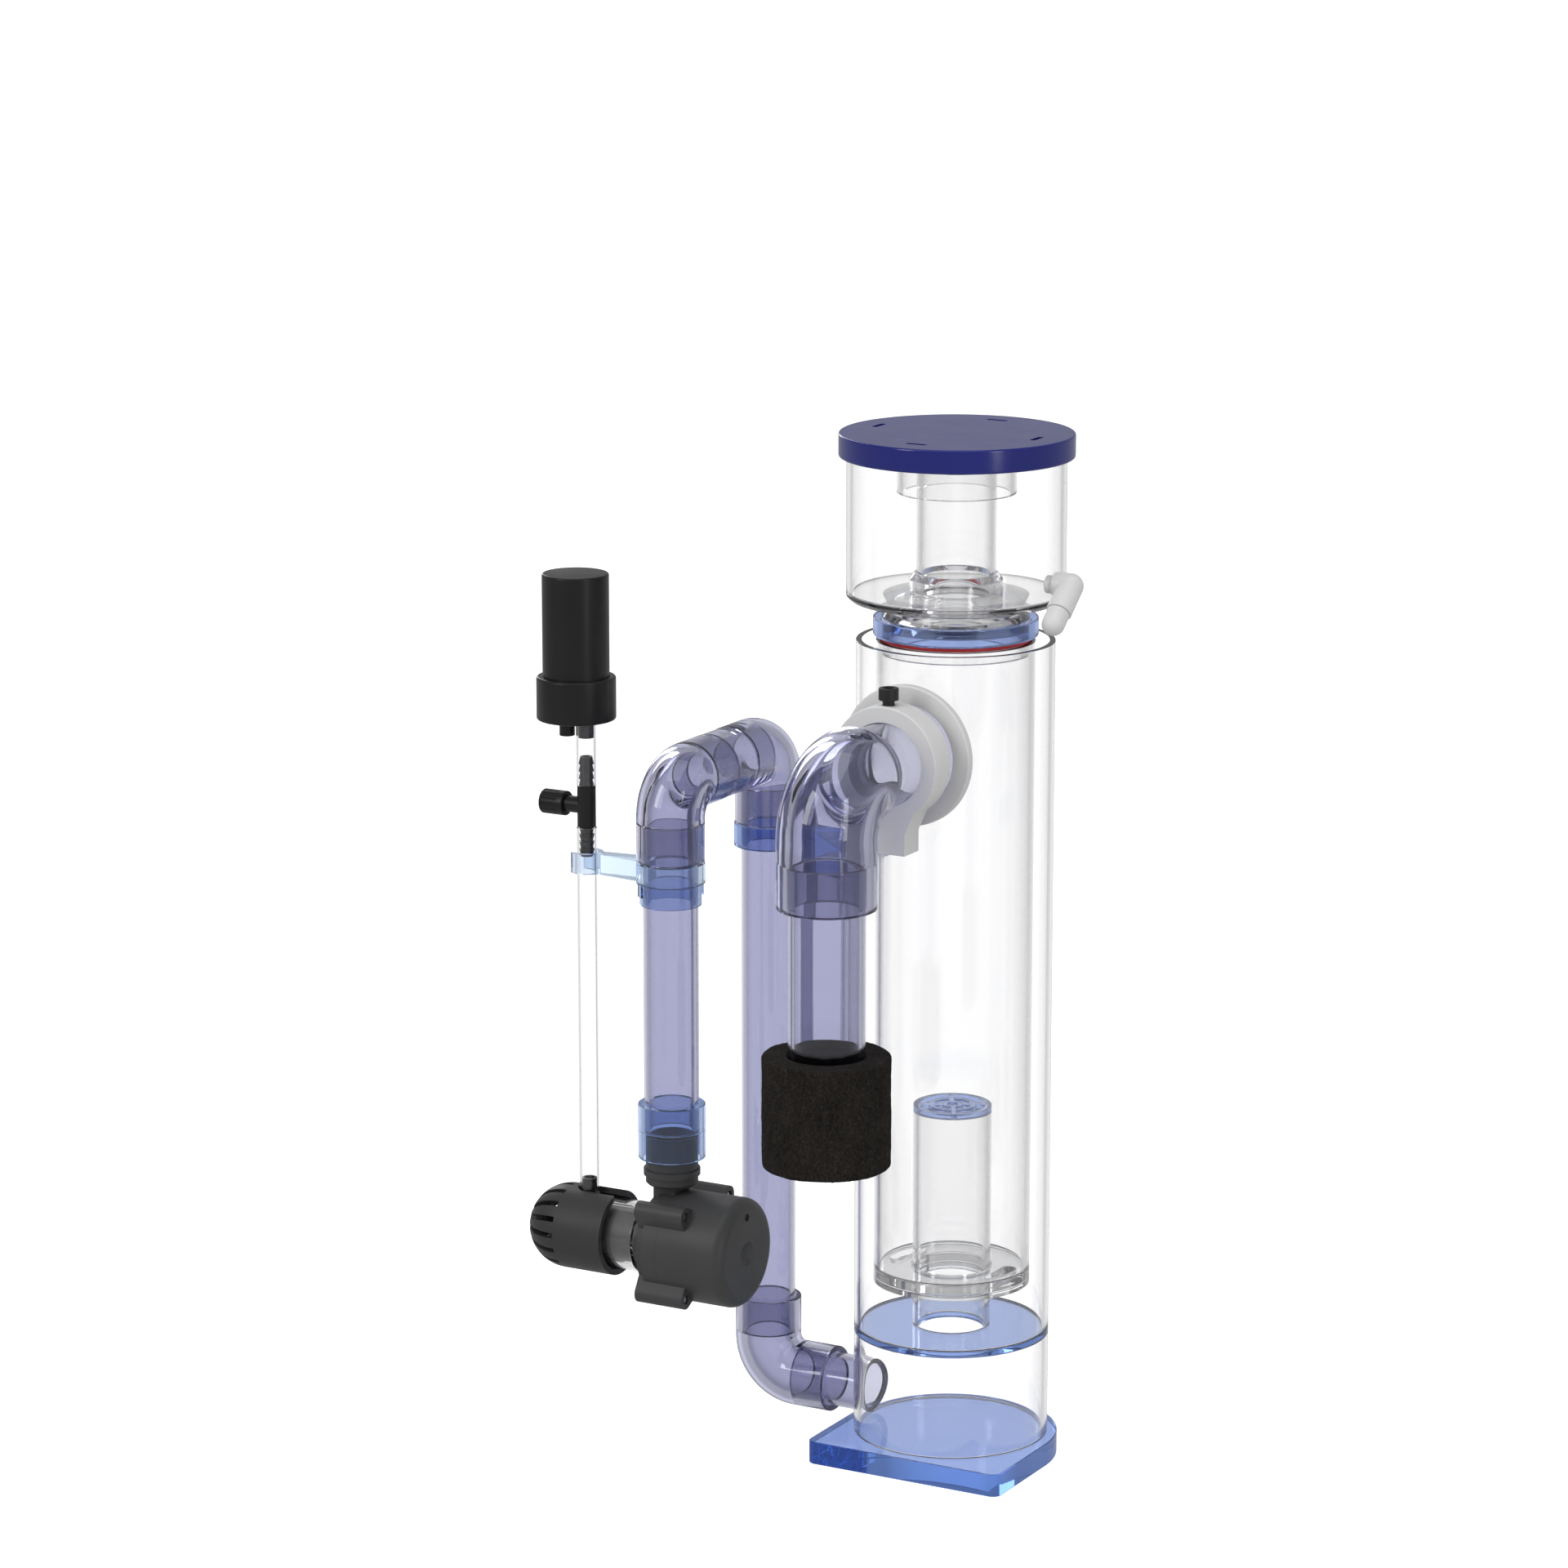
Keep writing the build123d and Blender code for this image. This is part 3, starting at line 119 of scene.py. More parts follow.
def ranged(tree, value, low, high):
    """A value from 0 to 1 turned into one from low to high."""
    node = tree.nodes.new("ShaderNodeMapRange")
    node.inputs["To Min"].default_value = low
    node.inputs["To Max"].default_value = high
    tree.links.new(value, node.inputs["Value"])
    return node.outputs["Result"]


def bump(tree, shader, height, strength, distance):
    """A bump on the shader, with its distance in metres."""
    node = tree.nodes.new("ShaderNodeBump")
    node.inputs["Strength"].default_value = strength
    node.inputs["Distance"].default_value = distance
    tree.links.new(height, node.inputs["Height"])
    tree.links.new(node.outputs["Normal"], shader.inputs["Normal"])


def clear_plastic(name, tint, ior, absorb_colour, absorb_density, roughness=0.0, haze=0.012):
    """Transparent plastic: a tint for each wall, and a deeper colour where light runs along inside it."""
    material, tree, shader, output = new_material(name)
    shader.inputs["Base Color"].default_value = (*tint, 1.0)
    shader.inputs["Transmission Weight"].default_value = 1.0
    shader.inputs["IOR"].default_value = ior
    smears = noise_node(tree, 26.0, 5.0)
    smears.inputs["Distortion"].default_value = 0.6
    gloss = ranged(tree, smears.outputs["Fac"], roughness, roughness + haze)
    tree.links.new(gloss, shader.inputs["Roughness"])
    waviness = noise_node(tree, 30.0, 1.0)
    bump(tree, shader, waviness.outputs["Fac"], 0.01, 0.0002)
    lamp_side = tree.nodes.new("ShaderNodeBsdfTransparent")
    lamp_side.inputs["Color"].default_value = (*(math.sqrt(c) for c in tint), 1.0)
    path = tree.nodes.new("ShaderNodeLightPath")
    either = tree.nodes.new("ShaderNodeMixShader")
    tree.links.new(path.outputs["Is Shadow Ray"], either.inputs["Fac"])
    tree.links.new(shader.outputs["BSDF"], either.inputs[1])
    tree.links.new(lamp_side.outputs["BSDF"], either.inputs[2])
    tree.links.new(either.outputs["Shader"], output.inputs["Surface"])
    absorption = tree.nodes.new("ShaderNodeVolumeAbsorption")
    absorption.inputs["Color"].default_value = (*absorb_colour, 1.0)
    absorption.inputs["Density"].default_value = absorb_density
    tree.links.new(absorption.outputs["Volume"], output.inputs["Volume"])
    return material


def moulded_plastic(name, dark, light, roughness, grain, grain_depth, coat=0.0, specular=0.5):
    """Opaque moulded plastic: faint flow marks in the colour, a fine grain, uneven gloss."""
    material, tree, shader, _ = new_material(name)
    flow = noise_node(tree, 22.0, 5.0)
    ramp = tree.nodes.new("ShaderNodeValToRGB")
    ramp.color_ramp.elements[0].position = 0.3
    ramp.color_ramp.elements[0].color = (*dark, 1.0)
    ramp.color_ramp.elements[1].position = 0.72
    ramp.color_ramp.elements[1].color = (*light, 1.0)
    tree.links.new(flow.outputs["Fac"], ramp.inputs["Fac"])
    tree.links.new(ramp.outputs["Color"], shader.inputs["Base Color"])
    sheen = noise_node(tree, 60.0, 4.0)
    gloss = ranged(tree, sheen.outputs["Fac"], roughness - 0.06, roughness + 0.08)
    tree.links.new(gloss, shader.inputs["Roughness"])
    fine = noise_node(tree, grain, 3.0)
    bump(tree, shader, fine.outputs["Fac"], 0.25, grain_depth)
    shader.inputs["Specular IOR Level"].default_value = specular
    shader.inputs["Coat Weight"].default_value = coat
    shader.inputs["Coat Roughness"].default_value = 0.12
    return material


def foam_material(name, dark, light):
    """Open-cell foam: fine pores and matted fibres that run in streaks, with painted shade in the pores
    and between the fibres, and a brownish cast.
    """
    material, tree, shader, _ = new_material(name)
    coords = tree.nodes.new("ShaderNodeTexCoord")
    stretch = tree.nodes.new("ShaderNodeMapping")
    stretch.inputs["Scale"].default_value = (1.0, 1.0, 0.45)
    tree.links.new(coords.outputs["Object"], stretch.inputs["Vector"])
    fibres = tree.nodes.new("ShaderNodeTexNoise")
    fibres.inputs["Scale"].default_value = 420.0
    fibres.inputs["Detail"].default_value = 7.0
    fibres.inputs["Roughness"].default_value = 0.7
    fibres.inputs["Distortion"].default_value = 1.6
    tree.links.new(stretch.outputs["Vector"], fibres.inputs["Vector"])
    pores = tree.nodes.new("ShaderNodeTexVoronoi")
    pores.inputs["Scale"].default_value = 900.0
    tree.links.new(coords.outputs["Object"], pores.inputs["Vector"])
    patches = noise_node(tree, 60.0, 5.0, 0.6)
    # Painted shade: the colour follows the bump's relief, darker where it is low, in the pores and between
    # the fibres.
    depth = tree.nodes.new("ShaderNodeMath")
    depth.operation = "MULTIPLY"
    tree.links.new(ranged(tree, fibres.outputs["Fac"], -0.45, 1.45), depth.inputs[0])
    tree.links.new(ranged(tree, pores.outputs["Distance"], 0.25, 1.3), depth.inputs[1])
    tone = tree.nodes.new("ShaderNodeMath")
    tone.operation = "MULTIPLY_ADD"
    tone.inputs[1].default_value = 0.75
    tree.links.new(depth.outputs["Value"], tone.inputs[0])
    tree.links.new(ranged(tree, patches.outputs["Fac"], -0.10, 0.35), tone.inputs[2])
    ramp = tree.nodes.new("ShaderNodeValToRGB")
    ramp.color_ramp.elements[0].position = 0.12
    ramp.color_ramp.elements[0].color = (*dark, 1.0)
    ramp.color_ramp.elements[1].position = 0.95
    ramp.color_ramp.elements[1].color = (*light, 1.0)
    tree.links.new(tone.outputs["Value"], ramp.inputs["Fac"])
    tree.links.new(ramp.outputs["Color"], shader.inputs["Base Color"])
    shader.inputs["Roughness"].default_value = 0.95
    shader.inputs["Specular IOR Level"].default_value = 0.1
    bump(tree, shader, depth.outputs["Value"], 0.8, 0.0008)
    return material


def metal(name, colour, roughness):
    """Bare metal with fine turning marks."""
    material, tree, shader, _ = new_material(name)
    shader.inputs["Base Color"].default_value = (*colour, 1.0)
    shader.inputs["Metallic"].default_value = 1.0
    marks = noise_node(tree, 900.0, 2.0)
    gloss = ranged(tree, marks.outputs["Fac"], roughness, roughness + 0.15)
    tree.links.new(gloss, shader.inputs["Roughness"])
    bump(tree, shader, marks.outputs["Fac"], 0.2, 0.00005)
    return material


ACRYLIC_IOR = 1.49
PVC_IOR = 1.52
SILICONE_IOR = 1.41

MATERIALS = {
    "acrylic_clear": clear_plastic(
        "acrylic_clear", (0.995, 0.995, 0.995), ACRYLIC_IOR, (0.40, 0.40, 0.42), 26.0
    ),
    "acrylic_blue": clear_plastic(
        "acrylic_blue", (0.31, 0.40, 0.69), ACRYLIC_IOR, (0.25, 0.52, 0.83), 12.0
    ),
    "acrylic_light_blue": clear_plastic(
        "acrylic_light_blue", (0.49, 0.59, 0.81), ACRYLIC_IOR, (0.30, 0.55, 0.83), 26.0
    ),
    "acrylic_pale_blue": clear_plastic(
        "acrylic_pale_blue", (0.70, 0.79, 0.91), ACRYLIC_IOR, (0.42, 0.60, 0.80), 26.0
    ),
    "pvc_violet": clear_plastic("pvc_violet", (0.565, 0.568, 0.685), PVC_IOR, (0.36, 0.36, 0.55), 22.0),
    "hose_clear": clear_plastic(
        "hose_clear", (0.96, 0.96, 0.965), SILICONE_IOR, (0.40, 0.41, 0.42), 75.0, 0.02, 0.03
    ),
    "white_plastic": moulded_plastic(
        "white_plastic", (0.72, 0.72, 0.72), (0.79, 0.79, 0.79), 0.40, 700.0, 0.00006, specular=0.4
    ),
    "red_rubber": moulded_plastic(
        "red_rubber", (0.46, 0.012, 0.012), (0.56, 0.02, 0.02), 0.36, 500.0, 0.00004
    ),
    "lid_blue": moulded_plastic(
        "lid_blue", (0.006, 0.011, 0.165), (0.009, 0.015, 0.200), 0.18, 220.0, 0.00001, specular=0.5
    ),
    "screw_black": moulded_plastic(
        "screw_black", (0.012, 0.011, 0.010), (0.02, 0.019, 0.018), 0.42, 1200.0, 0.00005, specular=0.4
    ),
    "pump_plastic": moulded_plastic(
        "pump_plastic", (0.052, 0.052, 0.053), (0.058, 0.058, 0.059), 0.44, 1400.0, 0.00006, specular=0.35
    ),
    "pump_screw_steel": metal("pump_screw_steel", (0.62, 0.64, 0.67), 0.25),
    "stator_iron": moulded_plastic(
        "stator_iron", (0.05, 0.045, 0.04), (0.10, 0.09, 0.08), 0.6, 300.0, 0.0002
    ),
    "rotor_ferrite": moulded_plastic(
        "rotor_ferrite", (0.04, 0.04, 0.045), (0.07, 0.07, 0.075), 0.5, 900.0, 0.0001
    ),
    "impeller_plastic": moulded_plastic(
        "impeller_plastic", (0.55, 0.55, 0.55), (0.65, 0.65, 0.65), 0.4, 700.0, 0.0001
    ),
    "shaft_ceramic": moulded_plastic(
        "shaft_ceramic", (0.80, 0.79, 0.75), (0.86, 0.85, 0.82), 0.15, 400.0, 0.00002, coat=0.4
    ),
    "black_rubber": moulded_plastic(
        "black_rubber", (0.044, 0.044, 0.045), (0.052, 0.052, 0.053), 0.5, 1200.0, 0.00005
    ),
    "strainer_plastic": moulded_plastic(
        "strainer_plastic",
        (0.036, 0.036, 0.037),
        (0.043, 0.043, 0.044),
        0.46,
        1400.0,
        0.00006,
        specular=0.35,
    ),
    "black_plastic": moulded_plastic(
        "black_plastic", (0.009, 0.009, 0.009), (0.012, 0.012, 0.012), 0.32, 1200.0, 0.00004, specular=0.3
    ),
    "sponge_foam": foam_material("sponge_foam", (0.005, 0.0044, 0.0038), (0.052, 0.045, 0.039)),
    "silencer_foam": foam_material("silencer_foam", (0.01, 0.01, 0.01), (0.09, 0.09, 0.09)),
}


# ---- mesh helpers ----------------------------------------------------------------------------
def mesh_object(name, vertices, faces):
    """A smooth-shaded object from vertices in millimetres, with its faces turned outwards."""
    mesh = bpy.data.meshes.new(name)
    mesh.from_pydata([Vector(v) * MM for v in vertices], [], faces)
    work = bmesh.new()
    work.from_mesh(mesh)
    bmesh.ops.recalc_face_normals(work, faces=work.faces)
    work.to_mesh(mesh)
    work.free()
    mesh.shade_smooth()
    piece = bpy.data.objects.new(name, mesh)
    bpy.context.scene.collection.objects.link(piece)
    return piece


def skin(name, rings, closed):
    """A surface through rings of vertices: a ring of one is a pole, and closed joins last to first."""
    vertices = []
    starts = []
    for ring in rings:
        starts.append(len(vertices))
        vertices.extend(ring)
    faces = []
    pairs = list(zip(range(len(rings)), range(1, len(rings))))
    if closed:
        pairs.append((len(rings) - 1, 0))
    for a, b in pairs:
        count = max(len(rings[a]), len(rings[b]))
        for i in range(count):
            j = (i + 1) % count
            if len(rings[a]) == 1:
                faces.append((starts[a], starts[b] + i, starts[b] + j))
            elif len(rings[b]) == 1:
                faces.append((starts[a] + i, starts[b], starts[a] + j))
            else:
                faces.append((starts[a] + i, starts[b] + i, starts[b] + j, starts[a] + j))
    return mesh_object(name, vertices, faces)


def frame_along(direction):
    """Two unit vectors square to a direction."""
    direction = Vector(direction).normalized()
    side = Vector((0, 1, 0)) if abs(direction.x) > 0.9 else Vector((1, 0, 0))
    u = (side - direction * side.dot(direction)).normalized()
    return u, direction.cross(u)


def circle(centre, direction, radius, count):
    """A ring of points square to a direction, or one point when the radius is nothing."""
    if radius < 1e-6:
        return [Vector(centre)]
    u, v = frame_along(direction)
    turns = [2 * math.pi * i / count for i in range(count)]
    return [Vector(centre) + u * radius * math.cos(t) + v * radius * math.sin(t) for t in turns]


def rounded(profile, radius, closed=True, steps=4):
    """A profile of (radius, height) points with its corners rounded by an arc-like curve."""
    result = []
    count = len(profile)
    for i, point in enumerate(profile):
        here = Vector(point)
        if not closed and i in (0, count - 1):
            result.append(tuple(here))
            continue
        before = Vector(profile[i - 1]) - here
        after = Vector(profile[(i + 1) % count]) - here
        reach = min(radius, before.length * 0.45, after.length * 0.45)
        start = here + before.normalized() * reach
        end = here + after.normalized() * reach
        for k in range(steps + 1):
            t = k / steps
            result.append(tuple(start * (1 - t) ** 2 + here * 2 * t * (1 - t) + end * t * t))
    return result


def lathe(name, profile, origin, direction, count=ROUND, closed=True):
    """A turned piece: profile points are (radius, distance along the axis)."""
    axis = Vector(direction).normalized()
    rings = [circle(Vector(origin) + axis * height, axis, radius, count) for radius, height in profile]
    piece = skin(name, rings, closed)
    weigh_normals(piece)
    return piece


def weigh_normals(piece):
    """Flat faces stay flat in the shading, and rounded edges stay round."""
    modifier = piece.modifiers.new("normals", "WEIGHTED_NORMAL")
    modifier.weight = 80
    modifier.keep_sharp = True


def take(piece, node):
    """A piece stands for a CAD node: it rides with it and takes its slot and material."""
    slot_name = SLOTS[node]
    piece.data.materials.clear()
    piece.data.materials.append(MATERIALS[slot_name])
    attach(piece, NODES[node]["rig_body"])
    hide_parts(node)
    return piece


def span(node):
    """A node's centre, lowest and highest corner, in millimetres."""
    low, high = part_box(node)
    return (low + high) / 2 / MM, low / MM, high / MM


def cut(piece, cutters):
    """Boolean holes, applied at once, so that the piece keeps one plain mesh."""
    for cutter in cutters:
        modifier = piece.modifiers.new("hole", "BOOLEAN")
        modifier.object = cutter
        modifier.operation = "DIFFERENCE"
        modifier.solver = "EXACT"
        piece.modifiers.move(len(piece.modifiers) - 1, 0)
    bpy.context.view_layer.update()
    for modifier in [m for m in piece.modifiers if m.type == "WEIGHTED_NORMAL"]:
        piece.modifiers.remove(modifier)
    evaluated = piece.evaluated_get(bpy.context.evaluated_depsgraph_get())
    mesh = bpy.data.meshes.new_from_object(evaluated)
    piece.modifiers.clear()
    piece.data = mesh
    mesh.shade_smooth()
    mesh.set_sharp_from_angle(angle=math.radians(35))
    weigh_normals(piece)
    for cutter in cutters:
        bpy.data.objects.remove(cutter)
    return piece


def rod(centre, direction, radius, length, count=PIPE_ROUND):
    """A plain cylinder through a point, used as a cutter."""
    half = length / 2
    profile = [(0, -half), (radius, -half), (radius, half), (0, half)]
    return skin(
        "cutter",
        [circle(Vector(centre) + Vector(direction) * h, direction, r, count) for r, h in profile],
        False,
    )


def inset(outline, distance):
    """A closed outline moved inwards by a small distance."""
    count = len(outline)
    result = []
    for i, point in enumerate(outline):
        along = (Vector(outline[(i + 1) % count]) - Vector(outline[i - 1])).normalized()
        result.append((point[0] - along.y * distance, point[1] + along.x * distance))
    return result


def prism(name, outline, bottom, top, edge=EDGE):
    """An upright plate from a flat outline, anticlockwise, with its rims rounded."""
    steps = 4
    rings = []
    for k in range(steps + 1):
        turn = math.pi / 2 * k / steps
        ring = inset(outline, edge * (1 - math.sin(turn)))
        rings.append([(x, y, bottom + edge * (1 - math.cos(turn))) for x, y in ring])
    for k in range(steps + 1):
        turn = math.pi / 2 * k / steps
        ring = inset(outline, edge * (1 - math.cos(turn)))
        rings.append([(x, y, top - edge * (1 - math.sin(turn))) for x, y in ring])
    count = len(outline)
    vertices = [point for ring in rings for point in ring]
    faces = [tuple(reversed(range(count))), tuple(range(len(vertices) - count, len(vertices)))]
    for a in range(len(rings) - 1):
        for i in range(count):
            j = (i + 1) % count
            faces.append((a * count + i, a * count + j, (a + 1) * count + j, (a + 1) * count + i))
    piece = mesh_object(name, vertices, faces)
    weigh_normals(piece)
    return piece


def arc(centre, radius, start, end, steps):
    """Points along an arc, in degrees anticlockwise."""
    turns = [math.radians(start + (end - start) * k / steps) for k in range(steps + 1)]
    return [(centre[0] + radius * math.cos(t), centre[1] + radius * math.sin(t)) for t in turns]


def hull(points):
    """The outer outline of a set of flat points."""
    flat = [Vector(point) for point in points]
    return [tuple(flat[i]) for i in convex_hull_2d(flat)]


def bar(outline, bottom, top):
    """An upright cutter with a flat outline."""
    low = [(x, y, bottom) for x, y in outline]
    high = [(x, y, top) for x, y in outline]
    middle = Vector((sum(x for x, _ in outline), sum(y for _, y in outline))) / len(outline)
    return skin("cutter", [[(*middle, bottom)], low, high, [(*middle, top)]], False)


def refined(node, edge=FINE_EDGE, angle=32.0):
    """A finer copy of a CAD node: flat faces made whole, clean shading and small rounded edges."""
    mesh = NODES[node].data.copy()
    mesh.name = node + "_fine"
    work = bmesh.new()
    work.from_mesh(mesh)
    bmesh.ops.remove_doubles(work, verts=work.verts, dist=0.000004)
    bmesh.ops.dissolve_limit(work, angle_limit=math.radians(0.4), verts=work.verts, edges=work.edges)
    work.to_mesh(mesh)
    work.free()
    if "custom_normal" in mesh.attributes:
        mesh.attributes.remove(mesh.attributes["custom_normal"])
    mesh.shade_smooth()
    mesh.set_sharp_from_angle(angle=math.radians(angle))
    piece = bpy.data.objects.new(node + "_fine", mesh)
    bpy.context.scene.collection.objects.link(piece)
    soften = piece.modifiers.new("edges", "BEVEL")
    soften.width = edge * MM
    soften.segments = 2
    soften.limit_method = "ANGLE"
    soften.angle_limit = math.radians(angle)
    soften.harden_normals = True
    return take(piece, node)


# ---- straight tubes --------------------------------------------------------------------------
def straight_tube(node, wall, count, shave=0.0):
    """A clear tube standing where its CAD node stands, with polished, slightly rounded rims."""
    centre, low, high = span(node)
    outer = max(high.x - low.x, high.y - low.y) / 2 - shave
    inner = outer + shave - wall
    profile = [(inner, low.z + GAP), (outer, low.z + GAP), (outer, high.z - GAP), (inner, high.z - GAP)]
    return lathe(node + "_clear", rounded(profile, EDGE), (centre.x, centre.y, 0), (0, 0, 1), count)


TUBES = {
    "bubble_foot": (BUBBLE_WALL, ROUND),
    "bubble_tube": (BUBBLE_WALL, ROUND),
    "reaction_tube": (TUBE_WALL, ROUND),
    "cup_wall": (TUBE_WALL, ROUND),
    "cup_riser_tube": (TUBE_WALL, ROUND),
    "lid_baffle": (TUBE_WALL, ROUND),
    "air_hose_long": (HOSE_WALL, HOSE_ROUND),
    "air_hose_short": (HOSE_WALL, HOSE_ROUND),
}
for node, (wall, count) in TUBES.items():
    take(straight_tube(node, wall, count), node)

for node in ("riser_pipe", "down_pipe"):
    take(straight_tube(node, PIPE_WALL, PIPE_ROUND, shave=2 * GAP), node)

bulkhead_centre, bulkhead_low, bulkhead_high = span("outlet_bulkhead")
body = straight_tube("body_tube", TUBE_WALL, ROUND)
BODY_R = 50.0
OUTLET_HOLE_R = (bulkhead_high.x - bulkhead_low.x) / 2 + GAP
OUTLET_CUTTER_L = 50.0
cut(body, [rod((0, -BODY_R, bulkhead_centre.z), (0, 1, 0), OUTLET_HOLE_R, OUTLET_CUTTER_L)])
take(body, "body_tube")

stub_centre, stub_low, stub_high = span("inlet_stub_pipe")
chamber = straight_tube("lower_chamber_tube", TUBE_WALL, ROUND)
INLET_HOLE_R = (stub_high.z - stub_low.z) / 2 + GAP
INLET_CUTTER_L = 30.0
cut(chamber, [rod((-BODY_R, 0, stub_centre.z), (1, 0, 0), INLET_HOLE_R, INLET_CUTTER_L)])
take(chamber, "lower_chamber_tube")


# ---- discs and turned acrylic pieces ---------------------------------------------------------
def turned(node, profile, count=ROUND, edge=EDGE):
    """A turned piece on the body's axis that stands for a CAD node."""
    return take(lathe(node + "_turned", rounded(profile, edge), (0, 0, 0), (0, 0, 1), count), node)


_, low, high = span("chamber_disc")
disc_section = [(BUBBLE_BORE_R, low.z), (high.x, low.z), (high.x, high.z), (BUBBLE_BORE_R, high.z)]
turned("chamber_disc", disc_section)

SLOT_R = 30.0
SLOT_CIRCLES = ((10.0, 3.8), (-8.0, 2.7), (-26.0, 1.6))


def flow_slots(bottom, top):
    """Cutters for the two teardrop slots that let the water past a plate."""
    cutters = []
    for turn in (0.0, 180.0):
        points = []
        for angle, radius in SLOT_CIRCLES:
            middle = arc((0, 0), SLOT_R, turn + angle, turn + angle, 1)[0]
            points += arc(middle, radius, 0, 350, 35)
        cutters.append(bar(hull(points), bottom - 2, top + 2))
    return cutters


PLATE_EDGE = 0.35
for node, bore in (("flow_plate", BUBBLE_BORE_R), ("reaction_floor", REACTION_FLOOR_BORE_R)):
    _, low, high = span(node)
    corners = [(bore, low.z), (high.x, low.z), (high.x, high.z - GAP), (bore, high.z - GAP)]
    plate = lathe(node + "_cut", rounded(corners, PLATE_EDGE), (0, 0, 0), (0, 0, 1), ROUND)
    take(cut(plate, flow_slots(low.z, high.z)), node)

BASE_CORNER_R = 5.0
_, low, high = span("base_plate")
base_outline = arc((0, 0), high.x, 0, 180, 96)
base_outline += arc((low.x + BASE_CORNER_R, low.y + BASE_CORNER_R), BASE_CORNER_R, 180, 270, 12)
base_outline += arc((high.x - BASE_CORNER_R, low.y + BASE_CORNER_R), BASE_CORNER_R, 270, 360, 12)
take(prism("base_plate_slab", base_outline, low.z, high.z - GAP), "base_plate")

LID_SLOTS = 4
LID_SLOT_R = 44.0
LID_SLOT_L = 11.5
LID_SLOT_W = 3.0
LID_SLOT_DEPTH = 1.6
_, low, high = span("lid")
LID_BORE_R = 55.8
LID_PLATE = 4.0
LID_EDGE = 1.2
lid_profile = [
    (0, high.z),
    (high.x, high.z),
    (high.x, low.z),
    (LID_BORE_R, low.z),
    (LID_BORE_R, high.z - LID_PLATE),
    (0, high.z - LID_PLATE),
]
lid_section = rounded(lid_profile, LID_EDGE, closed=False)
lid = lathe("lid_turned", lid_section, (0, 0, 0), (0, 0, 1), LID_ROUND, closed=False)
slot_cutters = []
for k in range(LID_SLOTS):
    turn = math.radians(360.0 * k / LID_SLOTS)
    middle = Vector((math.cos(turn), math.sin(turn))) * LID_SLOT_R
    reach = Vector((-math.sin(turn), math.cos(turn))) * (LID_SLOT_L - LID_SLOT_W) / 2
    ends = []
    for end in (middle + reach, middle - reach):
        ends += arc(end, LID_SLOT_W / 2, 0, 345, 23)
    slot_cutters.append(bar(hull(ends), high.z - LID_SLOT_DEPTH, high.z + 3.0))
take(cut(lid, slot_cutters), "lid")

_, low, high = span("cup_floor")
RISER_HOLE_R = RISER_TUBE_R + GAP
turned(
    "cup_floor",
    [
        (RISER_HOLE_R, low.z),
        (high.x - 2.5, low.z),
        (high.x, low.z + 2.2),
        (high.x, high.z - GAP),
        (RISER_HOLE_R, high.z - GAP),
    ],
)

_, low, high = span("cup_riser_collar")
turned(
    "cup_riser_collar",
    [
        (RISER_HOLE_R, low.z + GAP),
        (high.x, low.z + GAP),
        (high.x, high.z - 3.2),
        (high.x - 2.6, high.z),
        (RISER_HOLE_R, high.z),
    ],
)

_, low, high = span("cup_flange")
NECK_R = 36.75
FLANGE_LOW, FLANGE_HIGH = low.z, high.z
flange_section = [
    (NECK_R + GAP, FLANGE_LOW),
    (high.x, FLANGE_LOW),
    (high.x, FLANGE_HIGH),
    (NECK_R + GAP, FLANGE_HIGH),
]
turned("cup_flange", flange_section, edge=0.7)

SPIGOT_BORE_R = 33.0
GROOVE_H = 2.8
GROOVE_R = NECK_R - 1.05
_, low, high = span("cup_neck")
turned(
    "cup_neck",
    [
        (SPIGOT_BORE_R, low.z),
        (NECK_R, low.z),
        (NECK_R, FLANGE_LOW - GROOVE_H),
        (GROOVE_R, FLANGE_LOW - GROOVE_H),
        (GROOVE_R, FLANGE_LOW),
        (NECK_R, FLANGE_LOW),
        (NECK_R, FLANGE_HIGH),
        (NECK_R - 2.2, (FLANGE_HIGH + high.z) / 2),
        (NECK_R, high.z - GAP),
        (BUBBLE_BORE_R, high.z - GAP),
        (26.0, FLANGE_HIGH - 1.5),
        (SPIGOT_BORE_R, FLANGE_HIGH - 5.5),
    ],
    edge=0.6,
)

_, low, high = span("cup_o_ring")
RING_R = (high.z - low.z) / 2
ring_section = arc((high.x - RING_R, (high.z + low.z) / 2), RING_R, 0, 342, 19)
take(lathe("cup_o_ring_round", ring_section, (0, 0, 0), (0, 0, 1), ROUND), "cup_o_ring")


# ---- swept fittings --------------------------------------------------------------------------
def stations(start, corner, end, bend, steps=28):
    """Points and directions along a straight, a quarter turn and another straight."""
    start, corner, end = Vector(start), Vector(corner), Vector(end)
    first = (corner - start).normalized()
    second = (end - corner).normalized()
    centre = corner - first * bend + second * bend
    result = [(start, first), (start + first * ((corner - start).length - bend) * 0.5, first)]
    for k in range(steps + 1):
        turn = math.pi / 2 * k / steps
        point = centre - second * bend * math.cos(turn) + first * bend * math.sin(turn)
        result.append((point, (first * math.cos(turn) + second * math.sin(turn)).normalized()))
    result.append((end - second * ((end - corner).length - bend) * 0.5, second))
    result.append((end, second))
    return result


def ring_at(point, direction, side, radius, count):
    """A ring square to a direction, started from a fixed side so that the rings of a bend never twist."""
    u = Vector(side).normalized()
    v = Vector(direction).cross(u)
    turns = [2 * math.pi * i / count for i in range(count)]
    return [Vector(point) + u * radius * math.cos(t) + v * radius * math.sin(t) for t in turns]


def swept_tube(name, outer, inner, side, count=PIPE_ROUND):
    """A pipe from two lists of (point, direction, radius): the outside, then the bore back."""
    line = outer + list(reversed(inner))
    rings = [ring_at(point, direction, side, radius, count) for point, direction, radius in line]
    piece = skin(name, rings, True)
    weigh_normals(piece)
    return piece


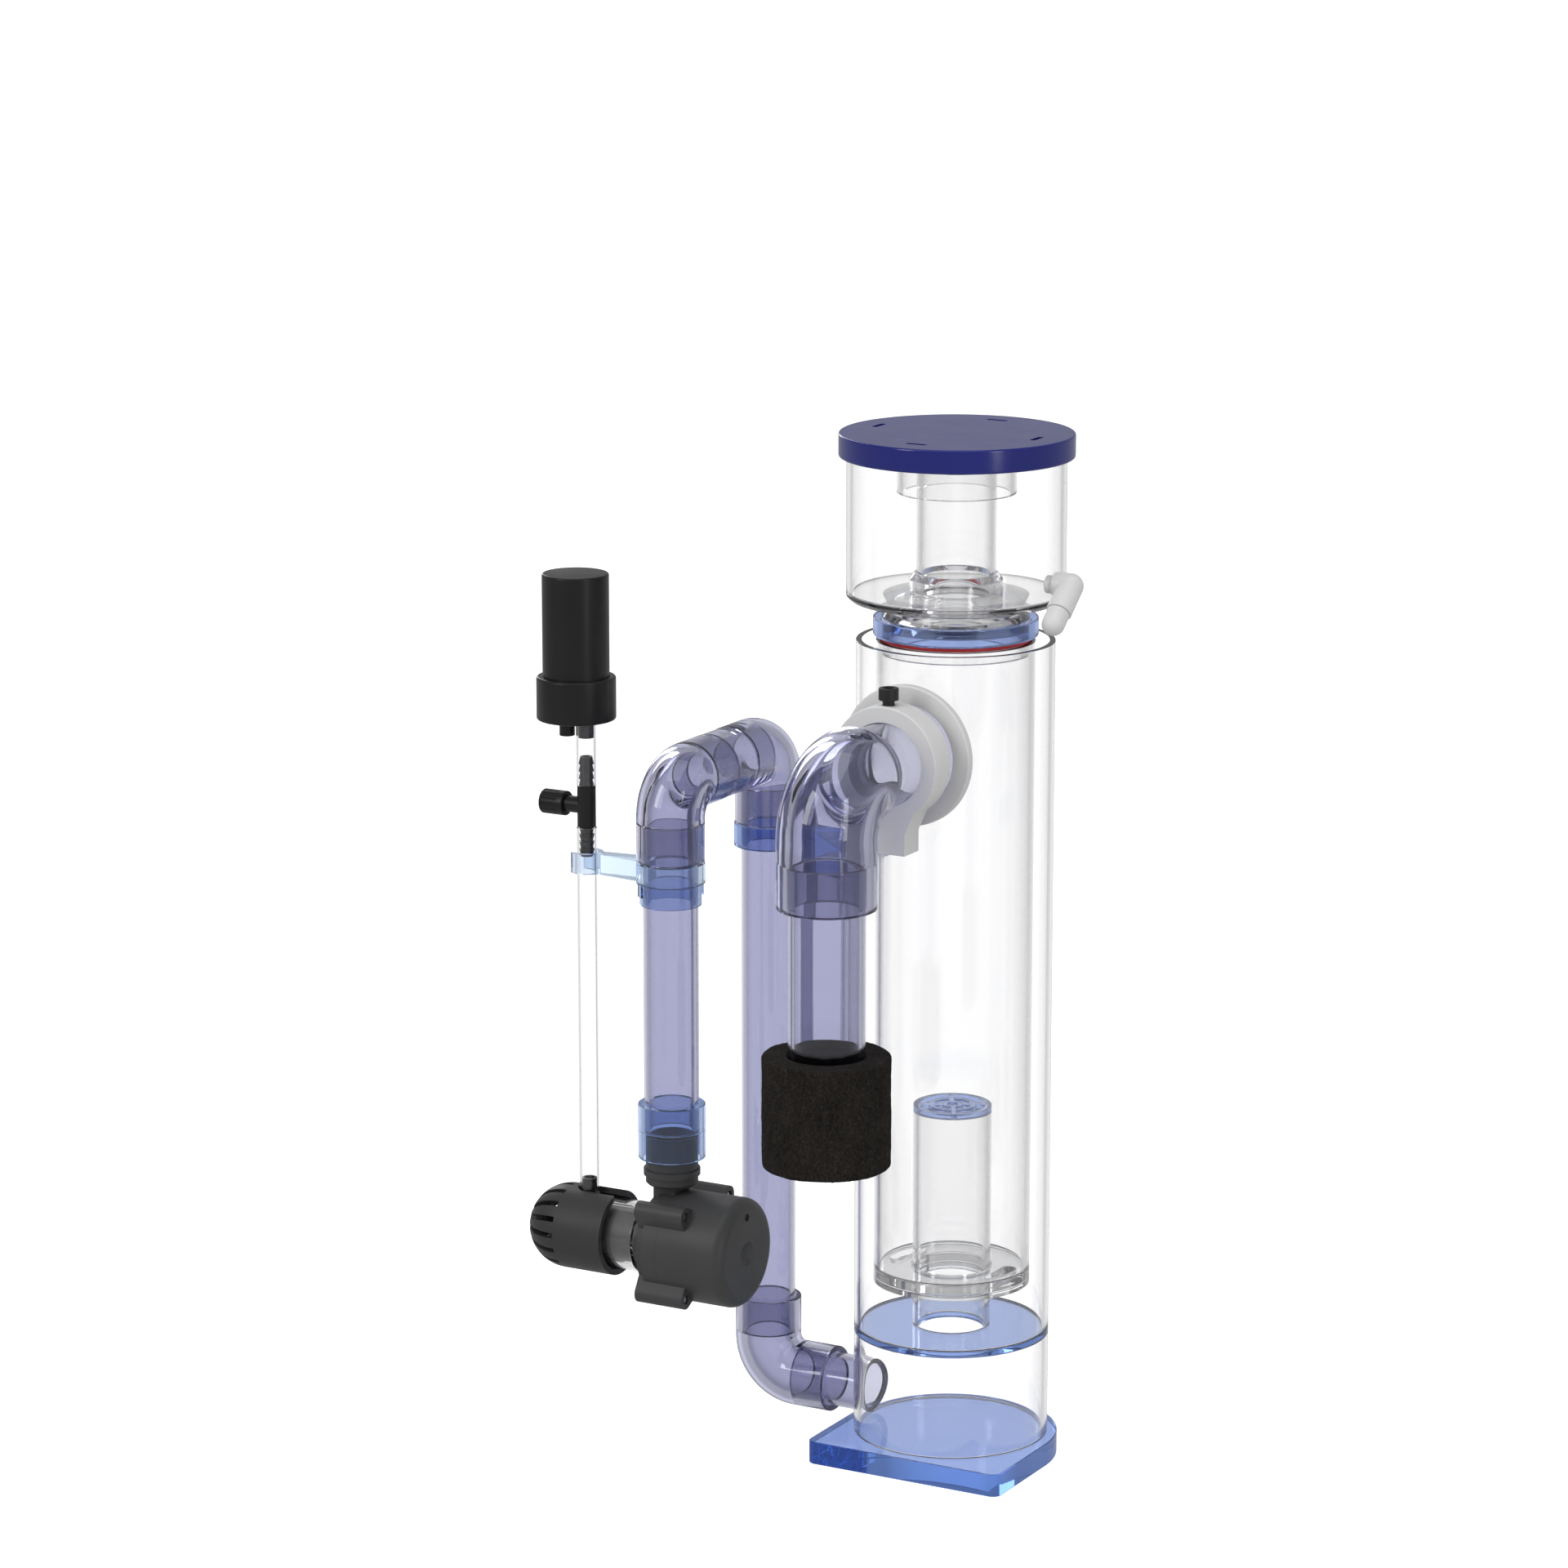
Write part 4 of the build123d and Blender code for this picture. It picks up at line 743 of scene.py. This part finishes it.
def with_mouths(path, radius, mouth_radius, lip):
    """Radii along a path that ease in or out at both mouths."""
    first_point, first_direction = path[0]
    last_point, last_direction = path[-1]
    opening = []
    closing = []
    for k in range(4):
        t = math.pi / 2 * k / 3
        offset = lip * (1 - math.cos(t))
        grown = mouth_radius + (radius - mouth_radius) * math.sin(t)
        opening.append((first_point + first_direction * offset, first_direction, grown))
        closing.insert(0, (last_point - last_direction * offset, last_direction, grown))
    middle = [(point, direction, radius) for point, direction in path[1:-1]]
    return opening + middle + closing


FITTING_R = 17.2
FITTING_BEND = 18.5
SOCKET_R = PIPE_R + GAP
SOCKET_DEPTH = 19.0
SOCKET_EDGE = 0.3
BORE_R = PIPE_R - PIPE_WALL
LIP = 0.7


def fitting_elbow(node, start, corner, end):
    """A pipe elbow with a stepped socket inside each mouth."""
    path = stations(start, corner, end, FITTING_BEND)
    first, second = path[0][1], path[-1][1]
    start, end = path[0][0], path[-1][0]
    inner = [
        (start, first, SOCKET_R + LIP),
        (start + first * LIP, first, SOCKET_R),
        (start + first * (SOCKET_DEPTH - SOCKET_EDGE), first, SOCKET_R),
        (start + first * SOCKET_DEPTH, first, SOCKET_R - SOCKET_EDGE),
        (start + first * SOCKET_DEPTH, first, BORE_R + SOCKET_EDGE),
        (start + first * (SOCKET_DEPTH + SOCKET_EDGE), first, BORE_R),
    ]
    inner += [(point, direction, BORE_R) for point, direction in path[3:-3]]
    inner += [
        (end - second * (SOCKET_DEPTH + SOCKET_EDGE), second, BORE_R),
        (end - second * SOCKET_DEPTH, second, BORE_R + SOCKET_EDGE),
        (end - second * SOCKET_DEPTH, second, SOCKET_R - SOCKET_EDGE),
        (end - second * (SOCKET_DEPTH - SOCKET_EDGE), second, SOCKET_R),
        (end - second * LIP, second, SOCKET_R),
        (end, second, SOCKET_R + LIP),
    ]
    outer = with_mouths(path, FITTING_R, FITTING_R - LIP, LIP)
    take(swept_tube(node + "_swept", outer, inner, first.cross(second)), node)


riser_centre, riser_pipe_low, _ = span("riser_pipe")
down_centre, _, _ = span("down_pipe")
_, riser_low, riser_high = span("riser_elbow")
_, upper_low, _ = span("downpipe_upper_elbow")
_, lower_low, lower_high = span("downpipe_lower_elbow")
CROSSOVER_Z = riser_high.z - FITTING_R
LOWER_Z = lower_low.z + FITTING_R
PIPEWORK_X = riser_centre.x

fitting_elbow(
    "riser_elbow",
    (PIPEWORK_X, riser_centre.y, riser_low.z),
    (PIPEWORK_X, riser_centre.y, CROSSOVER_Z),
    (PIPEWORK_X, riser_high.y, CROSSOVER_Z),
)
fitting_elbow(
    "downpipe_upper_elbow",
    (PIPEWORK_X, down_centre.y, upper_low.z),
    (PIPEWORK_X, down_centre.y, CROSSOVER_Z),
    (PIPEWORK_X, upper_low.y, CROSSOVER_Z),
)
fitting_elbow(
    "downpipe_lower_elbow",
    (PIPEWORK_X, down_centre.y, lower_high.z),
    (PIPEWORK_X, down_centre.y, LOWER_Z),
    (lower_high.x, down_centre.y, LOWER_Z),
)

_, low, high = span("crossover_pipe")
CROSSOVER_R = PIPE_R - GAP
CROSSOVER_RIB_R = FITTING_R - 0.2
rib_start = -riser_high.y - 3 * GAP
rib_end = -upper_low.y + 3 * GAP
crossover_profile = [
    (BORE_R, -low.y),
    (CROSSOVER_R, -low.y),
    (CROSSOVER_R, rib_start),
    (CROSSOVER_RIB_R, rib_start),
    (CROSSOVER_RIB_R, rib_end),
    (CROSSOVER_R, rib_end),
    (CROSSOVER_R, -high.y),
    (BORE_R, -high.y),
]
crossover_section = rounded(crossover_profile, FITTING_EDGE)
crossover_foot = (PIPEWORK_X, 0, CROSSOVER_Z)
take(
    lathe("crossover_pipe_turned", crossover_section, crossover_foot, (0, -1, 0), PIPE_ROUND),
    "crossover_pipe",
)

_, low, high = span("pump_coupler")
coupler_r = (high.x - low.x) / 2
coupler_profile = [
    (COUPLER_PORT_R, low.z),
    (coupler_r, low.z),
    (coupler_r, high.z),
    (PIPE_R, high.z),
    (PIPE_R, riser_pipe_low.z),
    (COUPLER_PORT_R, riser_pipe_low.z),
]
coupler_section = rounded(coupler_profile, FITTING_EDGE)
riser_foot = (PIPEWORK_X, riser_centre.y, 0)
take(lathe("pump_coupler_turned", coupler_section, riser_foot, (0, 0, 1), PIPE_ROUND), "pump_coupler")

# ---- outlet elbow and pipe -------------------------------------------------------------------
_, elbow_low, elbow_high = span("outlet_elbow")
outlet_centre, outlet_low, outlet_high = span("outlet_pipe")
OUTLET_R = (elbow_high.x - elbow_low.x) / 2
OUTLET_LEG_R = 20.75
OUTLET_BORE_R = 18.0
OUTLET_SOCKET_R = 19.3
OUTLET_BEND = 26.5
OUTLET_Z = elbow_high.z - OUTLET_R
OUTLET_SOCKET_TOP = outlet_high.z + 0.3
OUTLET_BEND_STEPS = 36

outlet_path = stations(
    (0, outlet_centre.y, elbow_low.z),
    (0, outlet_centre.y, OUTLET_Z),
    (0, elbow_high.y, OUTLET_Z),
    OUTLET_BEND,
    OUTLET_BEND_STEPS,
)
leg_direction = outlet_path[-1][1]
TAPER_L = 12.0
TAPER_STEPS = 8
outer = with_mouths(outlet_path[:-2], OUTLET_R, OUTLET_R - LIP, LIP)[:-4]
for k in range(TAPER_STEPS + 1):
    t = k / TAPER_STEPS
    ease = (1 - math.cos(math.pi * t)) / 2
    y = outlet_centre.y + OUTLET_BEND + TAPER_L * t
    outer.append((Vector((0, y, OUTLET_Z)), leg_direction, OUTLET_R + (OUTLET_LEG_R - OUTLET_R) * ease))
outer.append((Vector((0, elbow_high.y - LIP, OUTLET_Z)), leg_direction, OUTLET_LEG_R))
outer.append((Vector((0, elbow_high.y, OUTLET_Z)), leg_direction, OUTLET_LEG_R - LIP))
up_direction = Vector((0, 0, 1))
inner = [
    (Vector((0, outlet_centre.y, elbow_low.z)), up_direction, OUTLET_SOCKET_R + LIP),
    (Vector((0, outlet_centre.y, elbow_low.z + LIP)), up_direction, OUTLET_SOCKET_R),
    (Vector((0, outlet_centre.y, OUTLET_SOCKET_TOP)), up_direction, OUTLET_SOCKET_R),
    (Vector((0, outlet_centre.y, OUTLET_SOCKET_TOP)), up_direction, OUTLET_BORE_R),
]
inner += [(point, direction, OUTLET_BORE_R) for point, direction in outlet_path[2:-2]]
inner.append((Vector((0, elbow_high.y - LIP, OUTLET_Z)), leg_direction, OUTLET_BORE_R))
inner.append((Vector((0, elbow_high.y, OUTLET_Z)), leg_direction, OUTLET_BORE_R + LIP))
take(swept_tube("outlet_elbow_swept", outer, inner, (1, 0, 0), OUTLET_ROUND), "outlet_elbow")

PIPE_SLOT_H = 17.0
PIPE_SLOT_W = 9.0
PIPE_SLOT_REACH = 30.0
PIPE_SLOT_MIDDLE = Vector((outlet_centre.x, outlet_centre.y, outlet_low.z + 17.0))


def slot_cutter(direction):
    """An upright oblong bar through the outlet pipe."""
    reach = Vector(direction) * PIPE_SLOT_REACH
    across = Vector((0, 0, 1)).cross(Vector(direction))
    radius = PIPE_SLOT_W / 2
    straight = PIPE_SLOT_H / 2 - radius
    outline = arc((0, straight), radius, 0, 180, 24) + arc((0, -straight), radius, 180, 360, 24)
    rings = []
    for origin in (PIPE_SLOT_MIDDLE - reach, PIPE_SLOT_MIDDLE + reach):
        rings.append([origin + across * a + Vector((0, 0, b)) for a, b in outline])
    return skin("cutter", [[PIPE_SLOT_MIDDLE - reach], *rings, [PIPE_SLOT_MIDDLE + reach]], False)


pipe = straight_tube("outlet_pipe", TUBE_WALL, OUTLET_ROUND)
cut(pipe, [slot_cutter((1, 0, 0)), slot_cutter((0, 1, 0))])
take(pipe, "outlet_pipe")

# ---- venturi sleeve --------------------------------------------------------------------------
sleeve_centre, sleeve_low, sleeve_high = span("venturi_sleeve")
sleeve_r = (sleeve_high.z - sleeve_low.z) / 2
sleeve_profile = [
    (SLEEVE_BORE_R, sleeve_low.x),
    (sleeve_r, sleeve_low.x),
    (sleeve_r, sleeve_high.x),
    (SLEEVE_BORE_R, sleeve_high.x),
]
sleeve_section = rounded(sleeve_profile, FITTING_EDGE)
sleeve_foot = (0, sleeve_centre.y, sleeve_centre.z)
take(lathe("venturi_sleeve_turned", sleeve_section, sleeve_foot, (1, 0, 0), PIPE_ROUND), "venturi_sleeve")


# ---- sponge ----------------------------------------------------------------------------------
SPONGE_BORE_R = 19.3
SPONGE_FLOOR = 12.0
SPONGE_MARGIN = 0.3       # room inside the CAD solid for the uneven skin
SPONGE_EDGE = 1.6
SPONGE_SKIN = 0.7         # how far the skin moves in or out


def sponge():
    """The outlet sponge: a foam sleeve with a blind bore and a rough, cellular skin."""
    centre, low, high = span("outlet_sponge")
    outer = (high.x - low.x) / 2 - SPONGE_MARGIN
    bore = SPONGE_BORE_R
    floor = low.z + SPONGE_FLOOR
    step = 0.8
    corners = [(0, low.z), (outer, low.z), (outer, high.z), (bore, high.z), (bore, floor), (0, floor)]
    smooth = rounded(corners, SPONGE_EDGE, closed=False)
    profile = [smooth[0]]
    for point in smooth[1:]:
        last = Vector(profile[-1])
        gap = Vector(point) - last
        pieces = max(1, int(gap.length / step))
        profile += [tuple(last + gap * (k + 1) / pieces) for k in range(pieces)]
    count = 260
    piece = lathe("outlet_sponge_foam", profile, (centre.x, centre.y, 0), (0, 0, 1), count, closed=False)
    piece.modifiers.clear()
    mesh = piece.data
    normals = [v.normal.copy() for v in mesh.vertices]
    axis = Vector((centre.x, centre.y, 0)) * MM
    for vertex, normal in zip(mesh.vertices, normals):
        spot = vertex.co / MM
        radius = (vertex.co - axis).xy.length / MM
        coarse = noise.noise(spot * 0.11) * 0.5
        fine = noise.turbulence(spot * 0.75, 3, True) * 0.55
        depth = coarse - fine if radius > bore + 1 else -0.2 * abs(fine) * (radius < bore - 1)
        vertex.co += normal * depth * MM * SPONGE_SKIN
    mesh.update()
    return piece


take(sponge(), "outlet_sponge")


# ---- pieces that keep the CAD shape ----------------------------------------------------------
FINE_EDGES = {
    "air_valve_body": 0.1,
    "air_nipple": 0.15,
    "pump_screws": 0.1,
    "venturi_nozzle": 0.15,
    "impeller": 0.15,
    "pump_volute": 0.5,
    "pump_motor_housing": 0.5,
}
for node, piece in NODES.items():
    if not piece.hide_render:
        refined(node, FINE_EDGES.get(node, FINE_EDGE))

# ---- floor, light and camera -----------------------------------------------------------------
ASIDE_COSINE = 0.88       # light bent further than this from the view shows the backdrop's grey sides
AHEAD_COSINE = 0.985      # light bent less than this shows its white middle


def by_path(tree, diffuse, mirrored, seen, aside):
    """A brightness for light that falls on the object, is mirrored, is seen ahead, or comes from aside."""
    path = tree.nodes.new("ShaderNodeLightPath")
    geometry = tree.nodes.new("ShaderNodeNewGeometry")
    turned_view = tree.nodes.new("ShaderNodeVectorTransform")
    turned_view.vector_type = "VECTOR"
    turned_view.convert_from = "WORLD"
    turned_view.convert_to = "CAMERA"
    tree.links.new(geometry.outputs["Incoming"], turned_view.inputs["Vector"])
    parts = tree.nodes.new("ShaderNodeSeparateXYZ")
    tree.links.new(turned_view.outputs["Vector"], parts.inputs["Vector"])
    ahead = tree.nodes.new("ShaderNodeMath")
    ahead.operation = "ABSOLUTE"
    tree.links.new(parts.outputs["Z"], ahead.inputs[0])
    behind = tree.nodes.new("ShaderNodeMapRange")
    behind.inputs["From Min"].default_value = ASIDE_COSINE
    behind.inputs["From Max"].default_value = AHEAD_COSINE
    behind.inputs["To Min"].default_value = aside
    behind.inputs["To Max"].default_value = seen
    tree.links.new(ahead.outputs["Value"], behind.inputs["Value"])
    soft = ranged(tree, path.outputs["Is Glossy Ray"], diffuse, mirrored)
    through = tree.nodes.new("ShaderNodeMapRange")
    tree.links.new(path.outputs["Is Transmission Ray"], through.inputs["Value"])
    tree.links.new(soft, through.inputs["To Min"])
    tree.links.new(behind.outputs["Result"], through.inputs["To Max"])
    level = tree.nodes.new("ShaderNodeMapRange")
    level.inputs["To Max"].default_value = seen
    tree.links.new(path.outputs["Is Camera Ray"], level.inputs["Value"])
    tree.links.new(through.outputs["Result"], level.inputs["To Min"])
    return level.outputs["Result"]


world = bpy.data.worlds.new("studio")
bpy.context.scene.world = world
world.use_nodes = True
background = world.node_tree.nodes["Background"]
background.inputs["Color"].default_value = (1.0, 1.0, 1.0, 1.0)
world.node_tree.links.new(by_path(world.node_tree, 0.60, 0.38, 1.25, 0.66), background.inputs["Strength"])

FLOOR_HALF = 40.0
FLOOR_DROP = 0.0003
square = ((-1, -1), (1, -1), (1, 1), (-1, 1))
floor_corners = [(x * FLOOR_HALF, y * FLOOR_HALF, -FLOOR_DROP) for x, y in square]
floor_mesh = bpy.data.meshes.new("floor")
floor_mesh.from_pydata(floor_corners, [], [(0, 1, 2, 3)])
floor = bpy.data.objects.new("floor", floor_mesh)
bpy.context.scene.collection.objects.link(floor)
floor_material, floor_tree, floor_shader, _ = new_material("floor")
floor_shader.inputs["Base Color"].default_value = (0.35, 0.35, 0.35, 1.0)
floor_shader.inputs["Roughness"].default_value = 0.9
floor_shader.inputs["Specular IOR Level"].default_value = 0.0
floor_shader.inputs["Emission Color"].default_value = (1.0, 1.0, 1.0, 1.0)
floor_tree.links.new(by_path(floor_tree, 0.14, 0.22, 1.08, 0.49), floor_shader.inputs["Emission Strength"])
floor_mesh.materials.append(floor_material)


def softbox(name, place, aim, width, height, power):
    """A soft rectangular lamp at a place, turned towards a point, in metres and watts."""
    light = bpy.data.lights.new(name, "AREA")
    light.shape = "RECTANGLE"
    light.size = width
    light.size_y = height
    light.energy = power
    lamp = bpy.data.objects.new(name, light)
    bpy.context.scene.collection.objects.link(lamp)
    lamp.location = place
    lamp.rotation_euler = (Vector(aim) - Vector(place)).to_track_quat("-Z", "Y").to_euler()


MIDDLE = (0.0, -0.05, 0.3)
softbox("key", (-0.9, -1.9, 1.5), MIDDLE, 0.5, 1.4, 13.0)
softbox("top", (0.1, -0.4, 2.2), MIDDLE, 1.4, 1.4, 7.0)
softbox("side", (2.0, -0.9, 0.9), MIDDLE, 0.35, 1.5, 7.0)
softbox("rim", (-1.6, 1.3, 1.1), MIDDLE, 0.4, 1.4, 7.0)

camera_data = bpy.data.cameras.new("camera")
camera_data.lens = 125.6
camera_data.sensor_width = 36.0
camera_data.clip_end = 50.0
camera = bpy.data.objects.new("camera", camera_data)
bpy.context.scene.collection.objects.link(camera)
CAMERA_AZIMUTH = 29.0
CAMERA_PITCH = 12.6
camera.location = (1.2275, -2.3917, 0.9529)
camera.rotation_euler = (math.radians(90.0 - CAMERA_PITCH), 0.0, math.radians(CAMERA_AZIMUTH))
bpy.context.scene.camera = camera

scene = bpy.context.scene
scene.view_settings.view_transform = "Standard"
scene.cycles.max_bounces = 28
scene.cycles.transmission_bounces = 24
scene.cycles.glossy_bounces = 24
scene.cycles.transparent_max_bounces = 24
